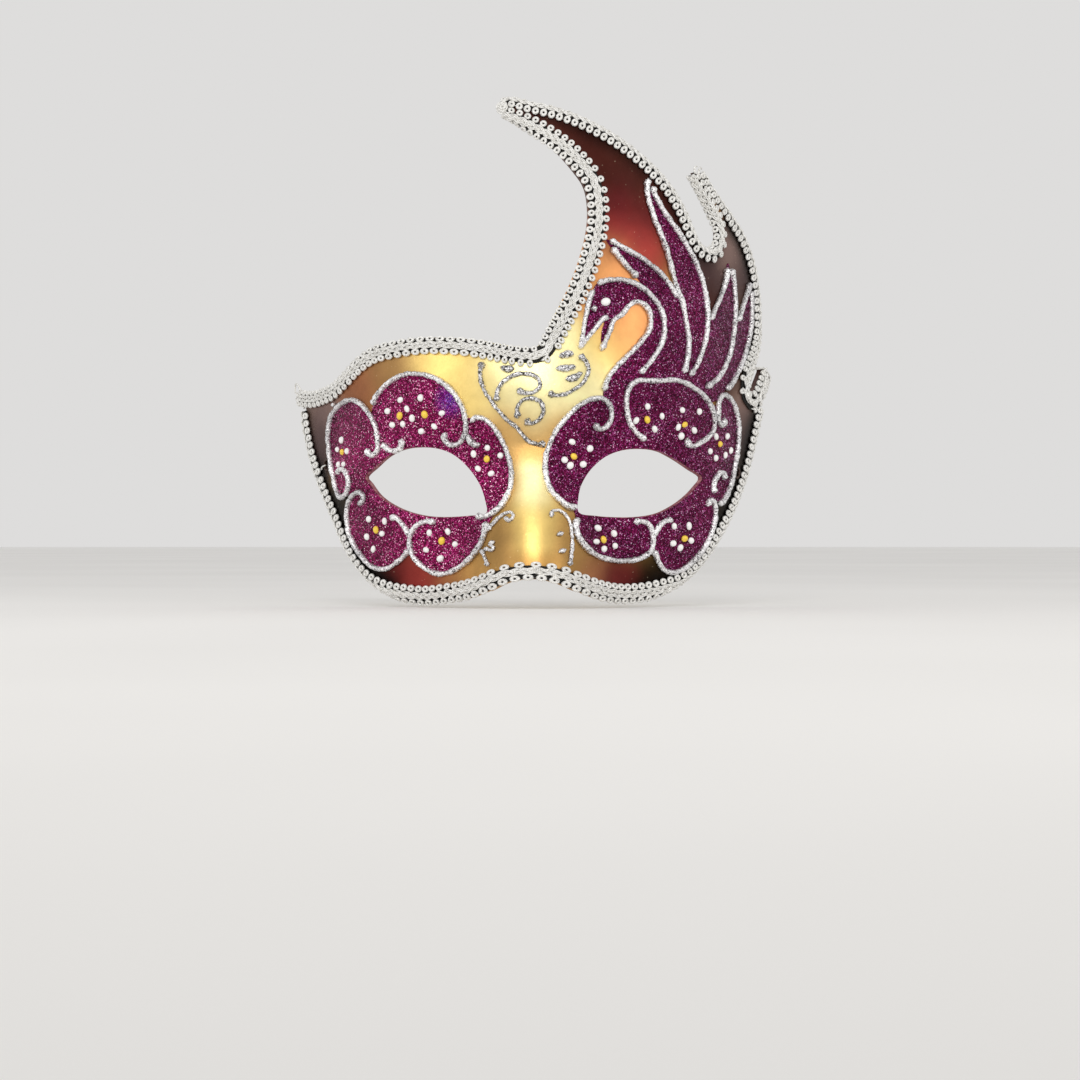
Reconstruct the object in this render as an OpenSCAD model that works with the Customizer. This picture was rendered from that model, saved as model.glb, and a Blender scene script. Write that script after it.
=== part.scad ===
// Half mask of papier-mache with a tall asymmetric crest, edged with silver gimp braid
// and decorated with glitter fields, raised relief lines and raised dots.
//
// Frame: +Z up, +X to the viewer's right, the front faces -Y. The origin is on the inner
// face of the nose bridge, at the height of the eyes.
// Every outline and path is given on the unrolled face as [u, z]: u is the distance round
// the face from the nose, z is the height above the eyes. Heights h stand off the front face.

/* [Face form] */
// Width of the mask measured round the face, temple tip to temple tip
mask_span = 236; // [200:1:285]
// Height from the cheek edge to the tip of the crest
mask_height = 181; // [150:1:218]
// Radius of the horizontal curve round the brow
face_radius = 85; // [75:1:105]
// Angle that each temple turns back from the front
temple_angle = 58; // [48:1:64]
// Thickness of the papier-mache
shell_thickness = 2; // [1.2:0.1:3]
// How far the nose stands out at its tip
nose_height = 21; // [14:0.5:26]
// Half width of the nose at the bridge
nose_half_width = 13; // [11:0.5:17]

/* [Eye openings] */
// Width of each eye opening, measured round the face
eye_width = 53; // [42:0.5:64]
// Height of each eye opening
eye_height = 25; // [20:0.5:30]

/* [Gimp braid] */
// Width of the braid where it lies flat
braid_width = 8.4; // [6:0.1:10.2]
// Thickness of the braid's plaited middle
braid_thickness = 1.8; // [1.2:0.1:2.4]

/* [Decoration] */
// Width of a relief line
line_width = 1.6; // [1.1:0.1:2]
// Height of a relief line
line_height = 1.1; // [0.7:0.1:1.6]
// Width of the fine sprig lines beside the nose
fine_line_width = 1.1; // [0.8:0.1:1.4]
// Thickness of the glitter
glitter_thickness = 0.3; // [0.2:0.05:0.5]
// Diameter of a white dot
white_dot_diameter = 2.3; // [1.6:0.1:3]
// Diameter of a yellow dot
yellow_dot_diameter = 2.6; // [1.8:0.1:3.2]
// Diameter of the swan's eye
swan_eye_diameter = 3.4; // [2.4:0.1:4.2]

/* [Tie eyelets] */
// Diameter of the hole that a ribbon tie is threaded through
tie_hole_diameter = 3; // [2:0.1:3.6]
// Diameter of the eyelet's flange
eyelet_flange_diameter = 5; // [4.6:0.1:5.8]
// Wall of the eyelet's barrel
eyelet_wall = 0.35; // [0.25:0.05:0.5]

/* [Hidden] */

// Sizes of the drawing grid that the outlines below are given on
grid_span = 236;
grid_height = 181;
grid_eye = [53, 25];
span_scale = mask_span / grid_span;
height_scale = mask_height / grid_height;
left_eye_centre = [-43, -1];
right_eye_centre = [42, -1];
// How far round an eye the decoration moves with the size of the opening
eye_reach = [48, 42];

// Clearances
paint_gap = 0.02;
relief_gap = 0.08;
braid_gap = 0.15;
rim_clearance = 0.5;
eyelet_clearance = 0.1;

// Spacing of the points along the smooth outlines and paths
outline_step = 3.3;
braid_step = 4.6;
line_step = 3.2;

// ---------------------------------------------------------------- the face form

nose_root = 12 * height_scale;
nose_run = 52 * height_scale;
nose_widening = 9;
brow_swell = 2.5;
brow_level = 34 * height_scale;
brow_half_height = 15;
brow_half_width = 45;
socket_depth = 2.5;
socket_level = 2;
socket_half_height = 15;
socket_half_width = 20;
socket_offset = 40 * span_scale;
upper_lean_radius = 500;
lower_lean_radius = 200;

function squared(x) = x * x;
function limited(x) = min(1, max(0, x));
function eased(x) = limited(x) * limited(x) * (3 - 2 * limited(x));

arc_length = face_radius * temple_angle * PI / 180;
function arc_part(u) = min(abs(u), arc_length);
function flat_part(u) = abs(u) - arc_part(u);
function turn(u) = sign(u) * arc_part(u) / face_radius * 180 / PI;
function section_x(u) = face_radius * sin(turn(u)) + sign(u) * flat_part(u) * cos(temple_angle);
function section_y(u) = face_radius * (1 - cos(turn(u))) + flat_part(u) * sin(temple_angle);

function nose_rise(z) =
    let (d = limited((nose_root - z) / nose_run))
    nose_height * (0.55 * eased(d) + 0.45 * d);
function nose_spread(z) = nose_half_width + nose_widening * limited((nose_root - z) / nose_run);
function nose(u, z) = nose_rise(z) * exp(-pow(abs(u) / nose_spread(z), 2.2));
function brow(u, z) =
    brow_swell * exp(-squared((z - brow_level) / brow_half_height) - squared(u / brow_half_width));
function socket(u, z) =
    -socket_depth * exp(-squared((z - socket_level) / socket_half_height)
                        - squared((abs(u) - socket_offset) / socket_half_width));
function swell(u, z) = nose(u, z) + brow(u, z) + socket(u, z);
function lean(z) = z > 0 ? z * z / (2 * upper_lean_radius) : z * z / (2 * lower_lean_radius);

// The inner face of the nose bridge lies at y = 0
bridge_offset = swell(0, 0) - shell_thickness;
function front(u, z) = [
    section_x(u) + swell(u, z) * sin(turn(u)),
    section_y(u) - swell(u, z) * cos(turn(u)) + lean(z) + bridge_offset,
    z
];
probe = 0.05;
function outward(u, z) =
    let (n = cross(front(u + probe, z) - front(u - probe, z),
                   front(u, z + probe) - front(u, z - probe)))
    n / norm(n);
function on_face(u, z, h) = h == 0 ? front(u, z) : front(u, z) + h * outward(u, z);

// ---------------------------------------------------------------- from the drawing grid to the face

function eye_pull(p, centre) =
    exp(-pow(norm([(p[0] - centre[0]) / eye_reach[0], (p[1] - centre[1]) / eye_reach[1]]), 4));
function eye_shift(p, centre) = eye_pull(p, centre) * [
    (p[0] - centre[0]) * (eye_width / grid_eye[0] / span_scale - 1),
    (p[1] - centre[1]) * (eye_height / grid_eye[1] / height_scale - 1)
];
function placed(p) =
    let (q = [p[0], p[1]] + eye_shift(p, left_eye_centre) + eye_shift(p, right_eye_centre))
    concat([q[0] * span_scale, q[1] * height_scale], [for (i = [2:1:len(p) - 1]) p[i]]);

// Smooth curve through points, sampled about every step
function curve_point(a, b, c, d, t) =
    (2 * b + (c - a) * t + (2 * a - 5 * b + 4 * c - d) * t * t
        + (3 * b - a - 3 * c + d) * t * t * t) / 2;
function gap(a, b) = norm([a[0] - b[0], a[1] - b[1]]);
function smooth_path(points, step) =
    let (p = [for (q = points) placed(q)], last = len(p) - 1)
    [
        for (i = [0:last - 1])
            let (
                before = i > 0 ? p[i - 1] : 2 * p[0] - p[1],
                after = i < last - 1 ? p[i + 2] : 2 * p[last] - p[last - 1],
                pieces = max(1, round(gap(p[i], p[i + 1]) / step))
            )
            for (j = [0:pieces - 1])
                curve_point(before, p[i], p[i + 1], after, j / pieces),
        p[last]
    ];
// A closed curve starts and ends at the same point
function smooth_ring(points, step) =
    let (p = [for (q = points) placed(q)], count = len(p))
    [
        for (i = [0:count - 1])
            let (pieces = max(1, round(gap(p[i], p[(i + 1) % count]) / step)))
            for (j = [0:pieces - 1])
                curve_point(p[(i + count - 1) % count], p[i], p[(i + 1) % count],
                            p[(i + 2) % count], j / pieces)
    ];
function part_of(points, first, last) = [
    for (i = [first:sign(last - first):last]) points[i]
];
function backwards(points) = part_of(points, len(points) - 1, 0);

// Skins a row of closed rings and closes both ends. Each ring turns anticlockwise as seen
// along the row, and its points pair up across it, the first with the last.
module skin(rings) {
    n = len(rings[0]);
    m = len(rings);
    half = floor(n / 2);
    points = [for (ring = rings) each ring];
    sides = [
        for (i = [0:m - 2])
            for (k = [0:n - 1])
                let (
                    a = i * n + k,
                    b = i * n + (k + 1) % n,
                    c = (i + 1) * n + (k + 1) % n,
                    d = (i + 1) * n + k
                )
                // The two halves are split along the same diagonal, so that a sheet's back
                // matches the front of the sheet that it lies on
                each k < half ? [[a, b, c], [a, c, d]] : [[a, b, d], [b, c, d]]
    ];
    function cap(base) = [
        for (k = [0:half - 2])
            each [
                [base + k, base + k + 1, base + n - 2 - k],
                [base + k, base + n - 2 - k, base + n - 1 - k]
            ],
        if (n % 2 == 1) [base + half - 1, base + half, base + half + 1]
    ];
    first_cap = [for (face = cap(0)) [face[2], face[1], face[0]]];
    polyhedron(points = points, faces = concat(sides, first_cap, cap((m - 1) * n)), convexity = 10);
}

// ---------------------------------------------------------------- sheets cut to an outline

fine_column = 3;
coarse_column = 8;
fine_reach = 24;
full_reach = 128;
row_height = 8;
columns = [
    for (u = [-full_reach:coarse_column:-fine_reach - coarse_column]) u,
    for (u = [-fine_reach:fine_column:fine_reach]) u,
    for (u = [fine_reach + coarse_column:coarse_column:full_reach]) u
];
rows = [for (z = [-56:row_height:152]) z];

function box_of(points) = [
    [min([for (p = points) p[0]]), min([for (p = points) p[1]])],
    [max([for (p = points) p[0]]), max([for (p = points) p[1]])]
];

// The part of the face between two heights, over the grid cells that an outline needs
module sheet(points, low, high) {
    box = box_of(points);
    us = [
        for (u = columns)
            let (w = u * span_scale)
            if (w > box[0][0] - 9 * span_scale && w < box[1][0] + 9 * span_scale) w
    ];
    zs = [
        for (z = rows)
            let (w = z * height_scale)
            if (w > box[0][1] - 9 * height_scale && w < box[1][1] + 9 * height_scale) w
    ];
    skin([
        for (u = us)
            concat([for (z = zs) on_face(u, z, high)],
                   [for (i = [len(zs) - 1:-1:0]) on_face(u, zs[i], low)])
    ]);
}

// A wedge that follows an outline on the face. Its edges run level, towards an upright axis
// behind the mask, so it cuts the face about square everywhere.
cut_axis_y = section_y(mask_span / 2) + 60;
cut_near = 45;
cut_far = cut_axis_y + 45;
cut_slices = 8;
module wedge(points) {
    section = [
        for (p = points)
            let (f = front(p[0], p[1]))
            [f[0] / (cut_axis_y - f[1]) * cut_near, f[2]]
    ];
    translate([0, cut_axis_y - cut_near, 0])
        rotate([90, 0, 0])
            linear_extrude(
                height = cut_far - cut_near, scale = [cut_far / cut_near, 1],
                slices = cut_slices, convexity = 10
            )
                polygon(section);
}

module cut_sheet(points, low, high) {
    resize([0, 0, 0])
        difference() {
            intersection() {
                sheet(points, low, high);
                wedge(points);
            }
            wedge(left_eye);
            wedge(right_eye);
            children();
        }
}

// ---------------------------------------------------------------- outlines

left_eye = smooth_ring([
    [-69.5, 1], [-64, 4.6], [-57.5, 8.6], [-50, 11], [-42, 11.5], [-35, 10.6], [-29, 8],
    [-23.5, 3.2], [-19.5, -2.2], [-17, -8], [-16.4, -12.8], [-23, -13.5], [-31, -14],
    [-39, -13.8], [-47, -12.4], [-55, -9.8], [-62, -6.2], [-67, -1.6]
], outline_step);
right_eye = smooth_ring([
    [68.4, 0.8], [62, 4], [55, 7.4], [47.5, 10.2], [40, 10.9], [32.5, 10.2], [26, 7.8],
    [20.5, 3.4], [16.7, -2], [15.1, -7], [15, -12.4], [22, -13.6], [30, -14.1],
    [38, -14], [46, -12.9], [53, -10.4], [59.5, -7], [65, -3]
], outline_step);

// The rim, clockwise from the left temple, one length of braid after another:
// [u, z, width of braid on the front, whole width of braid as a share of braid_width]
brow_rim = [
    [-117.5, 34.5, 6, 0.8], [-107, 34, 6.6, 0.8], [-98, 34.8, 6.6, 0.8], [-90, 36.5, 6.8, 0.82],
    [-82, 40, 6.8, 0.82], [-74, 44.6, 6.8, 0.82], [-65, 48.4, 6.8, 0.82],
    [-55, 50.1, 6.8, 0.82], [-42, 51.2, 6.8, 0.82], [-30, 50.8, 6.8, 0.82],
    [-20, 49.7, 7, 0.84], [-10, 47.8, 7.2, 0.86], [-3.5, 46.8, 7.4, 0.9],
    [0.8, 47.3, 7.8, 0.95], [3, 51, 8, 1], [6, 57.2, 8.2, 1], [10, 65, 8.4, 1],
    [13.6, 73, 8.4, 1], [16.4, 81, 8.4, 1], [18.4, 89, 8.4, 1], [19, 97, 8.4, 1],
    [17.6, 105, 8.4, 1], [13.4, 111.2, 8.2, 1], [7.4, 118, 7.4, 1], [0.8, 124.6, 5.6, 1],
    [-5.4, 129.8, 3.4, 0.95], [-10.6, 133.2, 1.6, 0.8]
];
crest_rim = [
    [-11.8, 135.2, 1.2, 0.8], [-8.4, 135.8, 1.6, 0.85], [-2, 134.2, 2.2, 0.95], [6, 132.4, 2.4, 1],
    [14, 129.8, 2.4, 1], [23, 125.8, 2.4, 1], [32, 120.8, 2.4, 1], [41, 114.6, 2.4, 1],
    [50, 107, 2.6, 1], [57, 98.6, 2.8, 1], [61.6, 90.8, 2.8, 1], [65.4, 85.4, 2.8, 1],
    [70.4, 83.2, 3.2, 1], [75.4, 84.8, 4.8, 1], [77.6, 89.6, 5.8, 1], [77.2, 95.6, 4.4, 1],
    [73.8, 101.8, 2.4, 0.95], [68.8, 108, 1.8, 0.9], [64.4, 113, 1.4, 0.8]
];
side_rim = [
    [67.8, 112.4, 0.8, 0.7], [73.6, 106.4, 1.1, 0.75], [80.4, 101.2, 1.5, 0.85], [87, 97, 2.6, 1],
    [94, 92.2, 2.6, 1], [99.6, 86.4, 2.6, 1], [104, 79.4, 2.6, 1], [106.6, 71.4, 2.6, 1],
    [107.6, 62, 2.8, 1], [107.4, 54, 3.4, 1], [105.4, 47.4, 4.8, 1], [102.8, 41.6, 6.8, 1],
    [100.8, 36.6, 7.8, 1], [101.4, 33, 8, 1], [104.6, 34.4, 8, 1], [107.8, 38.2, 7.8, 1],
    [110.8, 42, 7.4, 0.9]
];
cheek_rim = [
    [109.2, 27, 2.2, 0.95], [106.2, 21.2, 2.2, 1], [103, 14.6, 2.2, 1], [99.4, 7.4, 2.2, 1],
    [95, 0.4, 2.2, 1], [89.8, -6.4, 2.2, 1], [83.6, -13.2, 2.2, 1], [77.2, -19.6, 2.2, 1],
    [70.8, -25.6, 1.2, 0.85], [64.4, -31, 1.2, 0.85], [57.6, -35.4, 2, 0.9],
    [49.6, -39.8, 4.4, 0.9], [40, -43.4, 6.4, 0.9], [30, -44.8, 7.4, 0.9],
    [21, -43.6, 7.4, 0.9], [12.6, -40.4, 7, 0.86], [5.6, -37.2, 6.6, 0.82],
    [-1, -36, 6.4, 0.8], [-7.4, -37.2, 6.6, 0.82], [-13.6, -40.4, 7, 0.86],
    [-21, -43.2, 7.4, 0.9], [-30, -44.4, 7.2, 0.9], [-40, -44.8, 6.6, 0.9],
    [-50, -42.8, 5.2, 0.9], [-58, -39.6, 3.2, 0.9], [-66.4, -34.8, 1.4, 0.85],
    [-74, -29, 1, 0.85], [-81, -22.2, 1.8, 0.9], [-88, -13.8, 2.4, 1],
    [-95, -5.8, 2.4, 1], [-101, 1.6, 2.4, 1]
];
temple_rim = [
    [-101.6, 2.4, 2.4, 1], [-105.6, 8.2, 2.4, 1], [-109, 14.8, 2.4, 1],
    [-111.6, 21.4, 2.4, 1], [-112.8, 26.6, 2.4, 0.9]
];
horn_end = [[111.2, 42.4], [117.2, 39.4], [113.8, 34]];
temple_end = [[-113.6, 29], [-116.4, 32.4]];

// The shell's edge stands back from the braid that turns round it
function rim_part(points) =
    let (path = smooth_path([for (p = points) [p[0], p[1]]], outline_step), last = len(path) - 1)
    [
        for (i = [0:last])
            let (ahead = path[min(last, i + 1)] - path[max(0, i - 1)])
            path[i] - rim_clearance * [-ahead[1], ahead[0]] / norm(ahead)
    ];
rim = concat(
    rim_part(brow_rim), rim_part(crest_rim), rim_part(side_rim),
    [for (p = horn_end) placed(p)],
    rim_part(cheek_rim), rim_part(temple_rim),
    [for (p = temple_end) placed(p)]
);

// ---------------------------------------------------------------- relief lines

left_temple_path = [
    [-68, 11.2], [-65.4, 8.8], [-62.4, 10.4], [-61.8, 14.6], [-63, 19.4], [-66, 24],
    [-70.6, 27.6], [-76, 29.3], [-82, 28.5], [-87.6, 26.2], [-91.6, 23], [-93.2, 17],
    [-92.6, 10.4], [-91, 5], [-88.6, 0.4], [-87, -3.6], [-83, -6.4], [-79.2, -4.4],
    [-78.2, -0.6], [-80.2, 3], [-84, 4], [-86.4, 2.4]
];
left_nib = [[-89.2, 27.6], [-89.9, 28.7]];
left_brow_path = [
    [-64.2, 27], [-61.6, 30.6], [-57, 34.2], [-51, 36.9], [-45, 37.8], [-38.4, 36.8],
    [-32.6, 34], [-28.2, 30], [-25.4, 25], [-24.4, 20], [-25, 15.6], [-27.4, 12.6],
    [-31, 12.2], [-33, 14.4], [-32.4, 16.6]
];
left_hook_path = [[-59.8, 13], [-57.4, 10.9], [-54, 10.2], [-51.4, 11.8], [-50.6, 14.6]];
left_nose_path = [
    [-22.6, 20], [-20.4, 21.7], [-17.2, 20.9], [-14, 17.6], [-11.2, 13], [-9, 7.6],
    [-7.8, 2], [-8, -3.6], [-9.8, -8.4], [-12.8, -12], [-16.4, -13.8], [-20, -13.8]
];
left_nose_spur = [[-23, 14.4], [-21.8, 12.6], [-20, 12.2]];
left_cheek_outer_path = [
    [-72.4, -8.8], [-70.2, -8.2], [-69.6, -5.9], [-72.4, -4.6], [-76, -6], [-78.7, -9.6],
    [-79.3, -14.6], [-77.8, -19.6], [-74.7, -23.8], [-70.7, -27.7], [-66.2, -31], [-61.4, -32.5],
    [-56.4, -32], [-52, -29.6], [-49, -27.2]
];
left_cheek_curl = [[-48.8, -18], [-50.6, -16.2], [-53.2, -14.2], [-56, -14]];
left_cheek_inner_path = [
    [-36.4, -15.7], [-40.4, -15.4], [-44.4, -17], [-46.8, -20.4], [-46.8, -25],
    [-44.4, -29], [-40, -32.4], [-34.6, -34], [-29, -33.2], [-24, -30.8], [-19.8, -27],
    [-17, -22.4], [-15.8, -17.6], [-15.9, -15.6]
];
right_nose_path = [
    [14.2, -10.7], [11.4, -10.3], [8.8, -8.6], [6.2, -5.8], [4.4, -2], [3.6, 2.6],
    [4, 7.6], [5.3, 12], [7.4, 16.6], [10.4, 20.8], [14, 24.6], [18, 27.3], [22, 28.6],
    [25.3, 27.5], [27.3, 24.5], [27.3, 21], [25.3, 18.3], [22.8, 17.8], [21.4, 19.7]
];
right_temple_path = [
    [80.8, 22.8], [79.8, 20.4], [77.6, 20.9], [76.6, 24], [77, 28.3], [79.6, 31],
    [83.6, 30.8], [87.6, 28.2], [90.5, 24], [91.6, 18.5], [91, 13], [89.5, 8], [87.5, 3],
    [85, -2], [82, -6], [79, -8.3], [76.9, -8.2]
];
right_hook_path = [[80.7, 0], [80.2, 2.2], [78, 2.6], [75.5, 0.8], [74, -2], [74.3, -5]];
right_cheek_outer_path = [
    [70.4, -9.6], [71.8, -7.6], [74, -7.9], [75, -10.8], [74.7, -14.6], [73, -18.6],
    [70.4, -22.6], [67, -26.4], [62.4, -29.9], [57.8, -32.4], [53.4, -33.6], [49.4, -32.8],
    [47, -30.2], [45.8, -27.8]
];
right_cheek_curl = [[46.2, -18.6], [47.6, -16.6], [50.2, -15], [53.2, -14.6]];
right_cheek_inner_path = [
    [36.6, -15.7], [40, -15.3], [42.8, -16.6], [44.3, -19.6], [44.3, -23.6], [42.8, -26.4],
    [39, -28.4], [33.5, -29.4], [27.5, -29.2], [21.6, -28], [17, -25.2], [14.2, -21.4],
    [13.3, -17.4], [14.1, -14.2]
];
swan_body_path = [
    [42, 14], [39.4, 15.4], [36.8, 17.6], [34.5, 20.6], [33.3, 24.5], [33, 28.5], [34, 32.4],
    [37, 34.8], [42, 35.2], [47, 35.2], [52, 35.8], [57, 35.2], [62, 33.5], [66.5, 31.5],
    [70, 29], [72.8, 26], [74.4, 22.2], [73.8, 18.4], [71, 15.6], [67, 13.5], [63.3, 12.3],
    [60.6, 12.8], [60.2, 15]
];
swan_neck_path = [
    [22.6, 69.8], [26.4, 71], [31.5, 71.4], [37, 70.2], [42, 67.4], [46.3, 63.3], [48.9, 58],
    [49, 52.6], [47, 47.5], [44, 43.3], [40.8, 40], [38.2, 37.8]
];
swan_face_path = [
    [24.4, 31], [25.6, 34.8], [28, 38.4], [31.6, 42], [36, 46], [40, 50], [42.8, 54],
    [43.3, 58.5], [41.5, 62], [38, 63.5], [34.8, 62], [32, 58.8], [29, 56.8], [27, 52.6],
    [25.2, 48.6], [23.8, 45.4]
];
swan_beak_path = [
    [21.2, 67.4], [19.5, 63.2], [18.5, 58.8], [17.7, 54.4], [16.9, 50.4], [16.2, 46.6],
    [18.2, 49.2], [21.2, 52.8], [24.6, 56.8], [26.8, 57.6]
];
swan_nostril = [[20.4, 60.4], [22.6, 60.8]];
first_feather = [
    [[27.4, 85.6], [32, 83.3], [38, 80.5], [43, 77.7], [47.5, 74.5], [51.5, 70.8],
     [54, 67.5], [55.4, 65.8]],
    [[28, 83], [30.8, 79.8], [34.2, 76], [38.2, 72.4]]
];
second_feather = [
    [[42.6, 109], [42.3, 105], [43, 101], [45, 95], [48, 88.5], [51, 81.6], [53, 75],
     [55, 69.4], [57.3, 64.4], [59, 58.6], [60.3, 52.6], [60.3, 47], [59, 42], [57.4, 38.4]],
    [[44.2, 106.2], [46.4, 101.6], [51, 95.4], [56.5, 89.3], [61, 84], [65, 78.5],
     [68, 72.5], [69.8, 66.5], [70.6, 60.5], [70.2, 54.6], [68.5, 49], [66, 44],
     [63, 40], [60.6, 37.8]]
];
third_feather = [
    [[84, 78.6], [82.8, 74.8], [80.8, 70.6], [77.8, 66.2], [74.8, 62.2], [72.6, 58.6]],
    [[86.4, 78.6], [88, 74.6], [89.4, 69.4], [89.5, 63], [88.5, 57], [87, 51.5], [84.5, 46],
     [81, 41.5], [76.5, 37.4], [72.4, 35], [69.6, 33.6]]
];
fourth_feather = [
    [[101.4, 74.4], [99, 70.4], [96, 66], [93, 61.8], [91.2, 59.2]],
    [[102.2, 71.4], [102.5, 66], [102, 60], [100.4, 54], [97.6, 48.4], [94, 43.4],
     [90, 39], [86, 35.6], [82.4, 33.6]]
];
forehead_paths = [
    [[-18.2, 41.4], [-18.9, 37], [-17.9, 32.4], [-15.4, 28], [-12.2, 23.6], [-9, 20.2],
     [-6, 17.8], [-4.2, 15.4], [-1.8, 13], [1.6, 12]],
    [[-13.2, 27.2], [-12.8, 31], [-10.4, 34.4], [-6.4, 36.7], [-1.8, 36.8], [1.4, 35],
     [1.8, 32.2], [-0.6, 30.3], [-3.6, 30.4], [-6, 31.4]],
    [[-5.8, 21.2], [-6, 24.6], [-4, 27.6], [-0.6, 28.3], [2.4, 26.6], [3.2, 23.4],
     [1.6, 20.6], [-1.2, 19.4], [-3.4, 20.6]],
    [[-11.8, 39.4], [-9.2, 38.8], [-7, 38.8]],
    [[8.6, 43], [11.2, 44], [13.8, 44]],
    [[7.4, 39], [11, 39], [14.4, 39.6]],
    [[10.8, 35], [14, 35.8], [16.6, 37.6]],
    [[15.6, 43.8], [18, 41.6], [18.9, 38], [17.2, 34.2], [13.8, 31.4], [10, 29.6],
     [6.6, 29.4], [5, 30.6]]
];
left_sprig_paths = [
    [[-15.2, -18.8], [-13, -15.6], [-10.4, -13.2], [-7.8, -12.2], [-6.6, -13.6], [-8, -15.2],
     [-9.2, -14]],
    [[-17, -25.4], [-15.6, -28.6], [-14.2, -31.2]],
    [[-15.8, -24.8], [-13.4, -25.8], [-12.6, -24.6], [-14, -23.6], [-12.4, -22.6]]
];
right_sprig_paths = [
    [[5.2, -14], [5.8, -12], [8, -11.6], [10, -13.2], [11.4, -16], [11.8, -20],
     [11.6, -24.6], [10.9, -28.6], [10.4, -31]]
];
right_sprig_blobs = [[8, -20], [8.4, -25.8]];

// ---------------------------------------------------------------- glitter outlines

left_glitter_outline = concat(
    part_of(left_temple_path, 5, 16), [[-79.4, -5.6]], part_of(left_cheek_outer_path, 4, 14),
    part_of(left_cheek_inner_path, 4, 12), part_of(left_nose_path, 9, 1), [[-23.6, 21.6]],
    part_of(left_brow_path, 8, 0)
);
right_glitter_outline = concat(
    [[13.6, -12.6]], part_of(right_nose_path, 1, 12), [[24.4, 29.4], [29, 30.2]],
    part_of(swan_body_path, 6, 15), part_of(right_temple_path, 4, 15),
    part_of(right_cheek_outer_path, 2, 12), part_of(right_cheek_inner_path, 4, 12)
);
neck_glitter_outline = concat(
    part_of(swan_face_path, 0, 15), [[24.2, 52.4], [25.2, 56]],
    part_of(swan_beak_path, 7, 0), part_of(swan_neck_path, 0, 11), [[35, 35.2], [32, 31.2]]
);
wing_glitter_outline = concat(
    part_of(swan_neck_path, 11, 4), backwards(first_feather[1]), [[26, 86]],
    part_of(first_feather[0], 0, 7), part_of(second_feather[0], 8, 0),
    part_of(second_feather[1], 0, 8), backwards(third_feather[0]), [[85.2, 80.6]],
    part_of(third_feather[1], 0, 5), backwards(fourth_feather[0]),
    part_of(fourth_feather[1], 0, 8), [[76.4, 31.4], [71.6, 29.8]],
    part_of(swan_body_path, 13, 7)
);

// ---------------------------------------------------------------- dots

left_temple_dots = [[-83.6, 14.8], [-86.8, 11.4], [-79.8, 10.6], [-86, 5.8], [-82.2, 5.9]];
left_brow_dots = [
    [-50.8, 28.5], [-57, 24.6], [-48, 25.2], [-46, 21.8], [-50.2, 19.8], [-55, 19.6],
    [-42, 29], [-33.6, 23.4], [-37, 18.7], [-42.5, 17.1]
];
left_nose_dots = [[-16.8, 10.8], [-12, 8], [-22, 8.7], [-20.3, 3.4], [-15.2, 1.6]];
left_cheek_dots = [
    [-66.8, -14.4], [-58.8, -15.2], [-60, -19.7], [-64.4, -25.3], [-67.8, -20.8],
    [-39, -19.4], [-31.4, -19], [-28.2, -23.5], [-34.2, -28.6], [-40.2, -25.5]
];
left_centres = [
    [-83.2, 10.4], [-51.4, 22.8], [-40.6, 23], [-17, 6.8], [-63, -18.3], [-33.8, -22.3]
];
right_nose_dots = [[13.4, 12.9], [20, 10.6], [10.6, 6.4], [12.6, 4.4], [17.4, 4.9]];
swan_body_dots = [
    [41.8, 25.9], [48.2, 22.6], [37.4, 20.8], [45.4, 17.9],
    [57.4, 25], [66, 24.7], [63.6, 17.8], [57.4, 15.6], [55.8, 18.8]
];
right_temple_dots = [
    [75.8, 15.9], [83.4, 16.2], [72.4, 10.4], [75.8, 8], [82, 9.2], [86, 11]
];
right_cheek_dots = [
    [22, -17.8], [28.5, -19.7], [21, -22.6], [28.7, -24.1], [24, -25.2],
    [54, -17], [61, -16.9], [62, -22.2], [56.7, -24.8], [53.4, -23.2]
];
right_centres = [
    [14, 7.7], [42, 21.2], [58.8, 19.8], [78.4, 13.2], [24, -21.9], [58.8, -21.5]
];
swan_eye_point = [25.8, 63.2];

// ---------------------------------------------------------------- braid

// The braid's edges, with their loops of cord, are thinner than its plaited middle
braid_profile = [0.55, 0.8, 1, 1, 0.8, 0.55];
braid_stations = len(braid_profile) - 1;
rim_bend = shell_thickness / 2 + braid_gap;

// A point s along the braid's width from its inner edge, lifted off the face it lies on.
// Past its front width the braid turns round the rim of the shell.
function braid_point(s, front_width, lift) =
    s <= front_width
        ? [s - front_width, braid_gap + lift]
        : let (a = (s - front_width) / (rim_bend + braid_thickness / 2) * 180 / PI)
          [(rim_bend + lift) * sin(a), (rim_bend + lift) * cos(a) - shell_thickness / 2];

module braid(points) {
    path = smooth_path(points, braid_step);
    last = len(path) - 1;
    skin([
        for (i = [0:last])
            let (
                p = path[i],
                ahead = path[min(last, i + 1)] - path[max(0, i - 1)],
                out = [-ahead[1], ahead[0]] / norm([ahead[0], ahead[1]]),
                whole = p[3] * braid_width,
                front_width = min(whole, p[2] * braid_width / 8.4),
                section = concat(
                    [for (k = [0:braid_stations])
                        braid_point(whole * k / braid_stations, front_width,
                                    braid_thickness * braid_profile[k])],
                    [for (k = [braid_stations:-1:0])
                        braid_point(whole * k / braid_stations, front_width, 0)]
                )
            )
            [for (q = section) on_face(p[0] + q[0] * out[0], p[1] + q[0] * out[1], q[1])]
    ]);
}

// ---------------------------------------------------------------- lines and dots

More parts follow.
